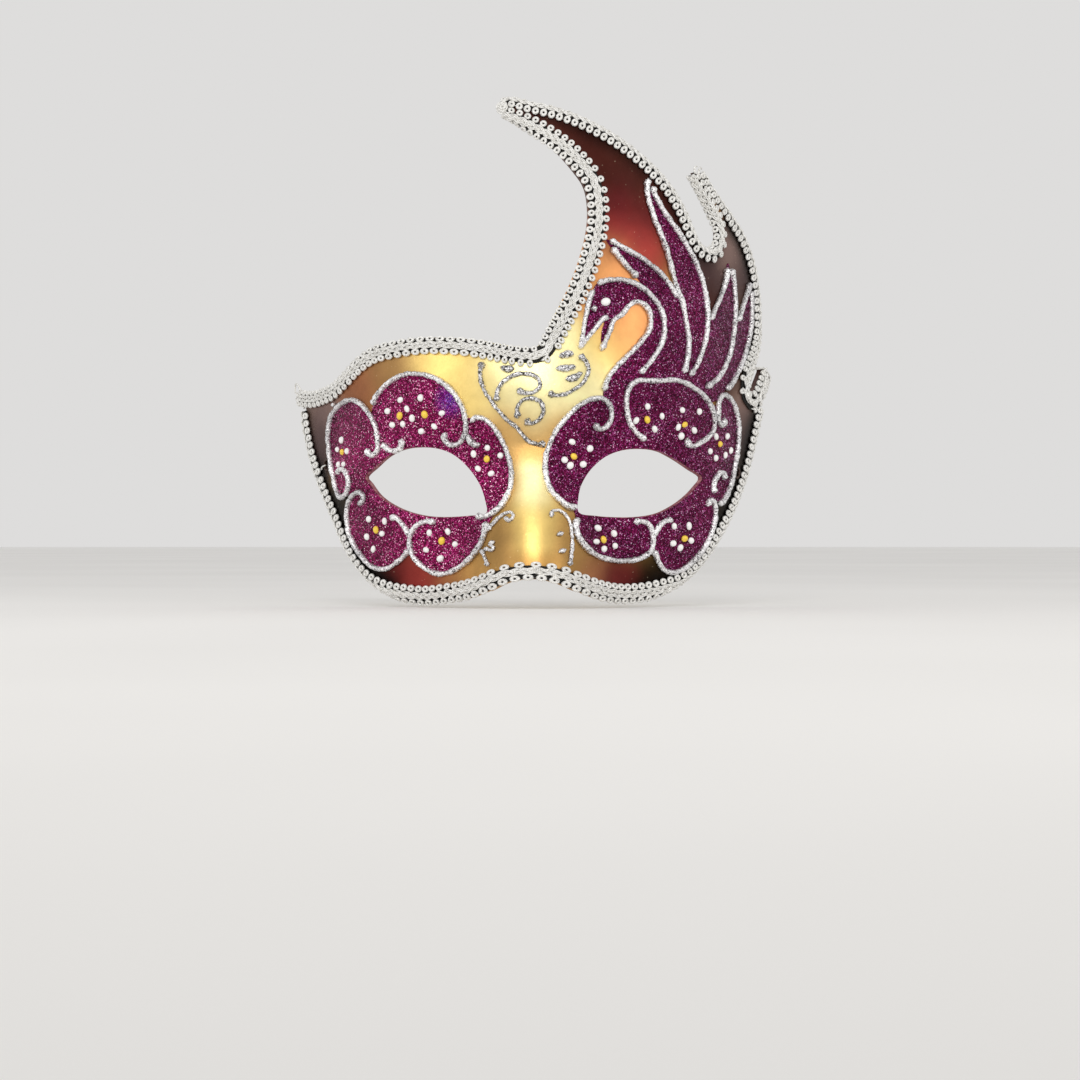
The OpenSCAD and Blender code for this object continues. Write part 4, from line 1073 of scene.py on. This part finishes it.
def edge_loop(side, pitch):
    """One loop of cord at an edge of the braid, lying flat, drooping outwards."""
    deselect()
    bpy.ops.mesh.primitive_torus_add(
        major_segments=LOOP_SEGMENTS[0], minor_segments=LOOP_SEGMENTS[1],
        major_radius=LOOP_REACH * MM, minor_radius=LOOP_CORD * MM, rotation=(math.pi / 2, 0, 0),
    )
    loop = bpy.context.object
    bpy.ops.object.transform_apply(location=True, rotation=True, scale=True)
    points = flat_points(loop)
    mark_strand(loop, LOOP_REACH * np.arctan2(points[:, 1], points[:, 0]))
    points[:, 0] += pitch * (0.25 if side < 0 else 0.75)
    points[:, 2] += 0.8 - 0.2 * side * points[:, 1]
    points[:, 1] += BRAID_WIDTH / 2 + side * (BRAID_WIDTH / 2 - LOOP_REACH - LOOP_CORD)
    put_flat(loop, points)
    return loop


def slanted_leg(side, pitch):
    """The cord that runs from a loop to the far side of the braid's middle."""
    share = np.linspace(0, 1, 7)
    path = np.column_stack([
        pitch * (0.25 if side < 0 else 0.75) - pitch * (0.2 - 0.9 * share),
        BRAID_WIDTH / 2 + side * (2.4 - 3.0 * share),
        0.62 + 0.34 * np.sin(math.pi * share),
    ])
    leg = tube("leg", [path], [LEG_CORD], 6)
    mark_strand(leg, flat_points(leg)[:, 0] * 1.6)
    return leg


def plait(length, pitch):
    """Three flat strands plaited down the middle, each of two cords side by side."""
    s = np.arange(0, length + 0.2, 0.4)
    cords = []
    for strand in range(3):
        turn = 2 * math.pi * (s / (3.3 * pitch) + strand / 3)
        for side in (-1, 1):
            cords.append(np.column_stack([
                s, BRAID_WIDTH / 2 + PLAIT_SWING * np.sin(turn) + 0.29 * side,
                1.3 + 0.36 * np.sin(2 * turn),
            ]))
    core = tube("plait", cords, [PLAIT_CORD] * len(cords), 6)
    mark_strand(core, flat_points(core)[:, 0])
    return core


def make_braid(node, rim, pitches, thread, ground):
    """A length of gimp laid on the rim. Its loops are drawn out to the pitches given along it."""
    path = smooth(rim, 0.4)
    along = distances(path)
    spacing = np.interp(along / along[-1], *np.transpose(pitches))
    loops = np.concatenate([[0], np.cumsum(np.diff(along) / spacing[1:])])
    count, pitch = round(loops[-1]), LOOP_PITCH
    length = count * pitch
    unit = join("unit", [edge_loop(-1, pitch), edge_loop(1, pitch), slanted_leg(-1, pitch),
                         slanted_leg(1, pitch)])
    unit_size = len(unit.data.vertices)
    modify(unit, "ARRAY", count=count, use_relative_offset=False, use_constant_offset=True,
           constant_offset_displace=(pitch * MM, 0, 0))
    core = plait(length, pitch)
    backing = flat_slab((0, GROUND_EDGES[0]), (length, GROUND_EDGES[1]), 0, GROUND_THICKNESS, 0.9)
    for piece in (unit, core, backing):
        piece.data.materials.append(thread)
    # The backing under the loops is coloured near black as painted shade.
    backing.data.materials.append(ground)
    for face in backing.data.polygons:
        face.material_index = 1
    braid = join(node + "_gimp", [unit, core, backing])

    points = flat_points(braid)
    # A loop keeps its shape where the rim turns, so its vertices all take its middle's place.
    middle = points[:, 0].copy()
    order = np.arange(count * unit_size)
    first = (order // unit_size + 0.25) * pitch
    place = order % unit_size
    middle[:len(order)] = np.where(
        place < LOOP_VERTICES, first,
        np.where(place < 2 * LOOP_VERTICES, first + pitch / 2, middle[:len(order)]),
    )
    s = np.interp(middle / length, loops / loops[-1], along)
    stretch = np.interp(s, along, spacing) / pitch
    ahead_of_middle = (points[:, 0] - middle) * stretch
    columns = (*path.T, *headings(path[:, :2]).T)
    u, z, front_width, whole, ahead_u, ahead_z = (np.interp(s, along, c) for c in columns)
    size = np.hypot(ahead_u, ahead_z)
    across, lift = points[:, 1] * whole, points[:, 2]
    bend = np.clip(across - front_width, 0, None)
    angle = bend / (RIM_BEND + BRAID_THICKNESS / 2)
    over = across > front_width
    offset = np.where(over, (RIM_BEND + lift) * np.sin(angle), across - front_width)
    h = np.where(over, (RIM_BEND + lift) * np.cos(angle) - SHELL_THICKNESS / 2, BRAID_GAP + lift)
    flat = np.column_stack([
        u + (ahead_of_middle * ahead_u - offset * ahead_z) / size,
        z + (ahead_of_middle * ahead_z + offset * ahead_u) / size, h,
    ])
    put_points(braid, on_face(flat) * MM)
    smooth_shade(braid)
    return finish(braid, replaced=[node])


def make_threads(name, paths, radius, thread):
    """Loose ends of thread, given by their points u, z, h."""
    lines = [smooth(p, 0.5) for p in paths]
    threads = tube(name, lines, [np.linspace(radius, radius * 0.6, len(line)) for line in lines], 6)
    mark_strand(threads, np.arange(len(threads.data.vertices)) // 6 * 0.5)
    wrap(threads)
    smooth_shade(threads)
    return finish(threads, thread)


# The section of an eyelet as radius and height, from its bore at the back round to the front
EYELET_SECTION = [
    (1.5, -2.3), (1.6, -2.42), (1.85, -2.42), (1.85, 0.02), (2.42, 0.02), (2.5, 0.12),
    (2.44, 0.3), (2.2, 0.43), (1.85, 0.46), (1.6, 0.38), (1.5, 0.2),
]


def make_eyelet(node, place, material):
    eyelet = lathe(EYELET_SECTION, 48)
    points = flat_points(eyelet)
    points[:, :2] += place
    put_flat(eyelet, points)
    wrap(eyelet)
    eyelet.name = node + "_ring"
    smooth_shade(eyelet, 50)
    return finish(eyelet, material, [node])


# ---------------------------------------------------------------- sizes and colours


def length_property(name, description, default, least, most):
    return bpy.props.FloatProperty(name=name, description=description, default=default, min=least,
                                   max=most, unit="LENGTH", precision=5)


def colour_property(name, description, shown):
    return bpy.props.FloatVectorProperty(name=name, description=description, subtype="COLOR",
                                         size=3, min=0, max=1, default=linear(shown)[:3])


class MaskSizes(bpy.types.PropertyGroup):
    """Sizes of the mask's details"""

    shell_cell: length_property("Shell cell", "Size of the shell's mesh cells",
                                0.0013, 0.0008, 0.004)
    glitter_cell: length_property("Glitter cell", "Size of the glitter fields' mesh cells",
                                  0.0006, 0.0004, 0.002)
    glitter_relief: length_property("Glitter relief", "How far the glitter's grains stand out",
                                    0.00016, 0, 0.0004)
    grain_size: length_property("Grain size", "Size of the grains of glitter glue",
                                0.0007, 0.0003, 0.002)
    bead_step: length_property("Bead step", "Spacing of the rings along a relief line",
                               0.0004, 0.0002, 0.002)
    bead_relief: length_property("Bead relief", "How far the grains of a relief line stand out",
                                 0.0005, 0, 0.001)
    line_width: length_property("Line width", "Width of a relief line", 0.0019, 0.0008, 0.0025)
    forehead_line_width: length_property("Forehead line width",
                                         "Width of a relief line on the forehead",
                                         0.0016, 0.0008, 0.0025)
    fine_line_width: length_property("Fine line width", "Width of the sprigs beside the nose",
                                     0.0011, 0.0006, 0.002)
    white_dot: length_property("White dot", "Diameter of a white dot", 0.0025, 0.001, 0.004)
    yellow_dot: length_property("Yellow dot", "Diameter of a yellow dot", 0.0026, 0.001, 0.004)
    swan_eye: length_property("Swan's eye", "Diameter of the swan's eye", 0.0034, 0.002, 0.005)


class MaskColours(bpy.types.PropertyGroup):
    """Colours of the airbrushed paint, its painted highlights, reflection and shade, and of the
    decoration
    """

    # Cream gold is pale paint together with a painted highlight, the satin glow on the forehead and
    # the ridge of the nose.
    cream_gold_and_highlight: colour_property("Cream gold", "Forehead and bridge of the nose", (255, 244, 184))
    # Pale gold is pale paint together with a painted highlight round the forehead glow and down the
    # ridge of the nose.
    pale_gold_and_highlight: colour_property("Pale gold", "Round the forehead", (255, 222, 134))
    gold: colour_property("Gold", "Ground colour of the shell", (208, 158, 88))
    # Olive gold is painted shade: the darker flanks of the nose beside its highlight.
    olive_gold_shade: colour_property("Olive gold", "Beside the nose", (166, 128, 74))
    tan: colour_property("Tan", "Left brow", (168, 128, 80))
    orange: colour_property("Orange", "Foot of the crest", (230, 160, 100))
    copper: colour_property("Copper", "Left temple and cheeks", (156, 98, 66))
    brick: colour_property("Brick red", "Middle of the crest", (146, 48, 48))
    burgundy: colour_property("Burgundy", "Upper crest and lower cheeks", (98, 22, 30))
    dark_maroon: colour_property("Dark maroon", "Top of the crest", (64, 18, 20))
    # Near black is dark edge paint together with painted shade beside the edge of the braid.
    near_black_edge_and_shade: colour_property("Near black", "Shaded edges", (5, 1, 1))
    plum: colour_property("Plum", "Between the feathers", (72, 50, 54))
    # Mauve is a painted reflection: the grey sheen of the satin burgundy paint at the temples and
    # between the feathers.
    mauve_reflection: colour_property("Mauve", "Temples", (132, 106, 100))
    silver: colour_property("Silver", "Glitter glue of the relief lines", (240, 238, 240))
    white: colour_property("White", "Raised dots", (255, 255, 253))
    yellow: colour_property("Yellow", "Raised centre dots", (255, 216, 70))


def screen(colour, share=1.0):
    """A stored colour as 0 to 255 on screen, darkened or lightened by share."""
    part = np.clip(np.array(colour[:3]) * share, 0, 1)
    part = np.where(part <= 0.0031308, part * 12.92, 1.055 * part ** (1 / 2.4) - 0.055)
    return tuple(part * 255)


# ---------------------------------------------------------------- operators


class MASK_OT_paper_shell(bpy.types.Operator):
    """Model the papier-mache shell, airbrush it and line it"""

    bl_idname = "mask.paper_shell"
    bl_label = "Paper shell"

    def execute(self, context):
        make_shell(context.scene.mask_sizes, context.scene.mask_colours)
        edge = cut_paper_edge()
        make_eye_edge("left_eye_edge", LEFT_EYE_CUT, edge)
        make_eye_edge("right_eye_edge", RIGHT_EYE_CUT, edge)
        return {"FINISHED"}


class MASK_OT_glitter_fields(bpy.types.Operator):
    """Lay the glitter round both eyes and over the swan"""

    bl_idname = "mask.glitter_fields"
    bl_label = "Glitter fields"

    def execute(self, context):
        sizes = context.scene.mask_sizes
        violet_place = tuple((front(np.array(-30.0), np.array(28.0)) * MM).tolist())
        magenta = glitter("magenta_glitter", [
            (0.0, (36, 0, 18)), (0.3, (88, 4, 44)), (0.55, (126, 9, 72)), (0.8, (158, 20, 98)),
            (0.93, (212, 92, 156)), (1.0, (255, 214, 232)),
        ], sheen=(violet_place, 0.0075))
        purple = glitter("purple_glitter", [
            (0.0, (26, 0, 16)), (0.35, (70, 2, 40)), (0.6, (104, 6, 60)), (0.82, (136, 16, 88)),
            (0.94, (180, 86, 156)), (1.0, (250, 208, 236)),
        ])
        make_field("left_eye_glitter", LEFT_GLITTER, magenta, sizes)
        for node, outline in (("right_eye_glitter", RIGHT_GLITTER),
                              ("swan_neck_glitter", NECK_GLITTER),
                              ("swan_wing_glitter", WING_GLITTER)):
            make_field(node, outline, purple, sizes)
        return {"FINISHED"}


RELIEF_LINES = {
    "left_temple_scroll": [LEFT_TEMPLE_PATH, LEFT_NIB],
    "left_brow_scroll": [LEFT_BROW_PATH],
    "left_brow_hook": [LEFT_HOOK_PATH],
    "left_nose_scroll": [LEFT_NOSE_PATH, LEFT_NOSE_SPUR],
    "left_cheek_outer_scroll": [LEFT_CHEEK_OUTER_PATH, LEFT_CHEEK_CURL],
    "left_cheek_inner_scroll": [LEFT_CHEEK_INNER_PATH],
    "right_nose_scroll": [RIGHT_NOSE_PATH],
    "right_temple_scroll": [RIGHT_TEMPLE_PATH],
    "right_temple_hook": [RIGHT_HOOK_PATH],
    "right_cheek_outer_scroll": [RIGHT_CHEEK_OUTER_PATH, RIGHT_CHEEK_CURL],
    "right_cheek_inner_scroll": [RIGHT_CHEEK_INNER_PATH],
    "swan_body_line": [SWAN_BODY_PATH],
    "swan_neck_line": [SWAN_NECK_PATH],
    "swan_face_line": [SWAN_FACE_PATH],
    "swan_beak_line": [SWAN_BEAK_PATH, SWAN_NOSTRIL],
    "first_feather_lines": FIRST_FEATHER,
    "second_feather_lines": SECOND_FEATHER,
    "third_feather_lines": THIRD_FEATHER,
    "fourth_feather_lines": FOURTH_FEATHER,
}
FINE_LINES = {
    "left_nose_sprig": LEFT_SPRIG_PATHS,
    "right_nose_sprig": RIGHT_SPRIG_PATHS + [
        [[x - 1.1, z - 0.4], [x + 1.1, z + 0.4]] for x, z in RIGHT_SPRIG_BLOBS
    ],
}


class MASK_OT_relief_lines(bpy.types.Operator):
    """Pipe the grainy silver lines of glitter glue"""

    bl_idname = "mask.relief_lines"
    bl_label = "Relief lines"

    def execute(self, context):
        sizes = context.scene.mask_sizes
        silver = context.scene.mask_colours.silver
        glue = glitter("silver_glitter_glue", [
            (0.0, screen(silver, 0.05)), (0.12, screen(silver, 0.4)), (0.3, screen(silver, 0.85)),
            (0.6, screen(silver, 1.1)), (1.0, (255, 255, 255)),
        ], 2600, 0.5)
        grey_glue = glitter("grey_glitter_glue", [
            (0.0, screen(silver, 0.02)), (0.2, screen(silver, 0.18)), (0.45, screen(silver, 0.5)),
            (0.7, screen(silver, 0.9)), (1.0, (255, 255, 255)),
        ], 2200, 0.7)
        for node, paths in RELIEF_LINES.items():
            make_bead(node, paths, glue, sizes, sizes.line_width / MM, RELIEF_BASE)
        make_bead("forehead_scrolls", FOREHEAD_PATHS, grey_glue, sizes,
                  sizes.forehead_line_width / MM, BARE_BASE, 1.8)
        for node, paths in FINE_LINES.items():
            make_bead(node, paths, glue, sizes, sizes.fine_line_width / MM, BARE_BASE, 1.6)
        return {"FINISHED"}


WHITE_DOTS = {
    "left_temple_white_dots": LEFT_TEMPLE_DOTS,
    "left_brow_white_dots": LEFT_BROW_DOTS,
    "left_nose_white_dots": LEFT_NOSE_DOTS,
    "left_cheek_white_dots": LEFT_CHEEK_DOTS,
    "right_nose_white_dots": RIGHT_NOSE_DOTS,
    "swan_body_white_dots": SWAN_BODY_DOTS,
    "right_temple_white_dots": RIGHT_TEMPLE_DOTS,
    "right_cheek_white_dots": RIGHT_CHEEK_DOTS,
}


class MASK_OT_raised_dots(bpy.types.Operator):
    """Drop the raised white and yellow dots and the swan's eye"""

    bl_idname = "mask.raised_dots"
    bl_label = "Raised dots"

    def execute(self, context):
        sizes = context.scene.mask_sizes
        colours = context.scene.mask_colours
        white = raised_paint("raised_white_paint", screen(colours.white, 0.88),
                             screen(colours.white))
        yellow = raised_paint("raised_yellow_paint", screen(colours.yellow, 0.8),
                              screen(colours.yellow))
        for node, places in WHITE_DOTS.items():
            make_dots(node, places, sizes.white_dot / MM, DOT_BASE, white)
        for node, places in (("left_yellow_dots", LEFT_CENTRES),
                             ("right_yellow_dots", RIGHT_CENTRES)):
            make_dots(node, places, sizes.yellow_dot / MM, DOT_BASE, yellow)
        make_dots("swan_eye", [SWAN_EYE_POINT], sizes.swan_eye / MM, DOT_BASE, white)
        return {"FINISHED"}


# Each braid with the pitch of its loops in millimetres at shares of its length
BRAIDS = {
    "brow_braid": (BROW_RIM, [(0, 3.0), (0.15, 3.2), (0.3, 4.1), (0.44, 4.0), (0.48, 2.5),
                              (0.56, 2.6), (0.7, 2.9), (1, 2.9)]),
    "crest_braid": (CREST_RIM, [(0, 3.0), (1, 3.0)]),
    "side_braid": (SIDE_RIM, [(0, 3.0), (0.6, 3.0), (0.72, 2.5), (1, 2.6)]),
    "cheek_braid": (CHEEK_RIM, [(0, 3.1), (0.3, 3.1), (0.4, 3.5), (0.72, 3.5), (0.8, 3.1),
                                (1, 3.1)]),
    "temple_braid": (TEMPLE_RIM, [(0, 3.1), (1, 3.1)]),
}
CREST_TIP = (-11.6, 134.4)
# Loose ends of thread as paths of u, z, h, with the thread's radius
LOOSE_ENDS = {
    "temple_loop": ([
        [[-113.4, 33, 1.2], [-115.4, 35.6, 1.6], [-118, 37.2, 1.4], [-119.8, 35.8, 1.0],
         [-119, 33.8, 1.2], [-116.4, 33.6, 1.8]],
        [[-113.5, 30, 0.8], [-116.4, 32.6, 1.4], [-118.4, 34, 2.0]],
        [[-113, 27.6, 0.6], [-115.6, 30.6, 0.2], [-117.8, 33.4, 0.6]],
        [[-99, 4.4, 0.5], [-97.6, 5.2, 1.0], [-95.6, 5.8, 0.7]],
    ], 0.42),
    "horn_tip_wrap": ([
        [[108.6, 42.6, h], [111.4, 42.8, h], [114.6, 41.4, h], [117.4, 39.4, h], [116.2, 36.4, h],
         [113.8, 33.6, h], [110.4, 30, h]] for h in (0.5, -0.35, -1.2, -2.05)
    ], 0.55),
    "horn_tip_lashing": ([
        [[110.2, 41.2, 0.7], [114.6, 40, 0.8], [112, 39, 0.9], [116, 38.4, 0.7], [112.2, 37.6, 0.9],
         [115.2, 36.6, 0.7], [111.6, 36, 0.9], [113.8, 34.8, 0.7], [111.4, 33.6, 0.7]],
    ], 0.6),
    "upper_horn_ends": ([
        [[64.6, 112.6, 0.8], [63.8, 113.8, 1.2], [64.2, 115, 1.0], [65.6, 115.4, 0.8]],
        [[66, 112.6, 1.0], [65.8, 114, 1.6], [66.8, 115, 1.2], [68, 114.6, 0.8]],
        [[67.4, 111.6, 0.8], [68.4, 112.8, 1.2], [69.2, 113.2, 0.6]],
    ], 0.5),
    "lower_horn_ends": ([
        [[110.4, 41.2, 1.2], [112.4, 42.6, 1.6], [113.8, 43, 1.0]],
        [[111.6, 39.6, 1.2], [113.8, 40.8, 1.4], [115.8, 41, 0.8]],
        [[111, 36.4, 0.8], [113.4, 37.4, 1.2], [115.8, 38, 0.8]],
    ], 0.42),
}


class MASK_OT_gimp_braid(bpy.types.Operator):
    """Plait the silver gimp braid and lay it along the rim"""

    bl_idname = "mask.gimp_braid"
    bl_label = "Gimp braid"

    def execute(self, context):
        thread = silver_thread()
        ground = painted_shade_ground()
        for node, (rim, pitches) in BRAIDS.items():
            make_braid(node, rim, pitches, thread, ground)
        for name, (paths, radius) in LOOSE_ENDS.items():
            make_threads(name, paths, radius, thread)
        turns = np.linspace(0, 3 * 2 * math.pi, 40)
        reach = 0.3 + 0.115 * turns
        coil = np.column_stack([
            CREST_TIP[0] + reach * np.cos(turns), CREST_TIP[1] + reach * np.sin(turns),
            1.5 - 0.085 * turns,
        ])
        make_threads("crest_tip_coil", [coil.tolist()], 0.55, thread)
        return {"FINISHED"}


class MASK_OT_tie_eyelets(bpy.types.Operator):
    """Set an eyelet at each temple for a ribbon tie"""

    bl_idname = "mask.tie_eyelets"
    bl_label = "Tie eyelets"

    def execute(self, context):
        brass = lacquered_brass()
        make_eyelet("left_tie_eyelet", LEFT_TIE, brass)
        make_eyelet("right_tie_eyelet", RIGHT_TIE, brass)
        return {"FINISHED"}


# Each lamp's place and target in metres, its width and height, its watts and its colour
SOFTBOXES = {
    "key_softbox": ((-0.1, -1.1, 0.72), (0, 0.02, 0.03), (0.6, 0.45), 0.8, (1.0, 0.98, 0.95)),
    "front_softbox": ((0.04, -1.25, 0.3), (0, 0.02, 0.03), (0.22, 0.2), 0.24, (1.0, 0.99, 0.97)),
    "right_softbox": ((0.95, -0.65, 0.35), (0.02, 0.02, 0.04), (0.5, 0.7), 0.4, (1.0, 0.98, 0.96)),
    "left_softbox": ((-0.95, -0.6, 0.25), (-0.02, 0.02, 0.02), (0.5, 0.7), 0.36, (0.97, 0.98, 1.0)),
}


def softbox(name, place, target, size, power, colour):
    deselect()
    bpy.ops.object.light_add(type="AREA", location=place)
    light = bpy.context.object
    light.name = name
    light.data.shape = "RECTANGLE"
    light.data.size, light.data.size_y = size
    light.data.energy = power
    light.data.spread = math.radians(90)
    light.data.color = colour
    direction = np.array(target) - np.array(place)
    distance = float(np.linalg.norm(direction))
    light.rotation_euler = (
        math.acos(-float(direction[2]) / distance), 0,
        math.atan2(-float(direction[0]), float(direction[1])),
    )
    return light


class MASK_OT_studio_stage(bpy.types.Operator):
    """Set up the floor, the soft lights and the camera"""

    bl_idname = "mask.studio_stage"
    bl_label = "Studio stage"

    def execute(self, context):
        scene = context.scene
        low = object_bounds()[0]
        deselect()
        bpy.ops.mesh.primitive_circle_add(vertices=96, radius=9, fill_type="NGON",
                                          location=(0, 0, low[2] - 0.0005))
        floor = bpy.context.object
        floor.name = "studio_floor"
        bpy.ops.object.transform_apply(location=True, rotation=True, scale=True)
        m = Finish("pale_studio_floor")
        m.set(
            Base_Color=m.ramp(m.noise(3, 2), [(0.3, (236, 235, 233)), (0.7, (242, 241, 239))]),
            Roughness=0.9,
        )
        floor.data.materials.append(m.material)
        floor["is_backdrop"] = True

        world = bpy.data.worlds.new("studio_air")
        scene.world = world
        world.use_nodes = True
        air = world.node_tree.nodes["Background"]
        air.inputs["Color"].default_value = (1.0, 0.99, 0.98, 1)
        air.inputs["Strength"].default_value = 0.73

        for name, settings in SOFTBOXES.items():
            softbox(name, *settings)

        deselect()
        bpy.ops.object.camera_add(location=(0.002, -1.03233, -0.022), rotation=(math.pi / 2, 0, 0))
        camera = bpy.context.object
        camera.name = "studio_camera"
        camera.data.sensor_width = 36
        camera.data.lens = 97
        camera.data.clip_start = 0.01
        scene.camera = camera
        scene.view_settings.view_transform = "Standard"
        return {"FINISHED"}


OPERATORS = (
    MASK_OT_paper_shell,
    MASK_OT_glitter_fields,
    MASK_OT_relief_lines,
    MASK_OT_raised_dots,
    MASK_OT_gimp_braid,
    MASK_OT_tie_eyelets,
    MASK_OT_studio_stage,
)


class MASK_PT_panel(bpy.types.Panel):
    """Lists the mask's pieces, sizes and colours"""

    bl_idname = "MASK_PT_panel"
    bl_label = "Masquerade mask"
    bl_space_type = "VIEW_3D"
    bl_region_type = "UI"
    bl_category = "Mask"

    def draw(self, context):
        for operator in OPERATORS:
            self.layout.operator(operator.bl_idname)
        for group in (context.scene.mask_sizes, context.scene.mask_colours):
            column = self.layout.column(align=True)
            for name in group.__annotations__:
                column.prop(group, name)


CLASSES = (MaskSizes, MaskColours, *OPERATORS, MASK_PT_panel)


def register():
    for cls in CLASSES:
        bpy.utils.register_class(cls)
    bpy.types.Scene.mask_sizes = bpy.props.PointerProperty(type=MaskSizes)
    bpy.types.Scene.mask_colours = bpy.props.PointerProperty(type=MaskColours)


def unregister():
    del bpy.types.Scene.mask_colours
    del bpy.types.Scene.mask_sizes
    for cls in reversed(CLASSES):
        bpy.utils.unregister_class(cls)


def main():
    register()
    bpy.ops.mask.paper_shell()
    bpy.ops.mask.glitter_fields()
    bpy.ops.mask.relief_lines()
    bpy.ops.mask.raised_dots()
    bpy.ops.mask.gimp_braid()
    bpy.ops.mask.tie_eyelets()
    bpy.ops.mask.studio_stage()


if __name__ == "__main__":
    main()
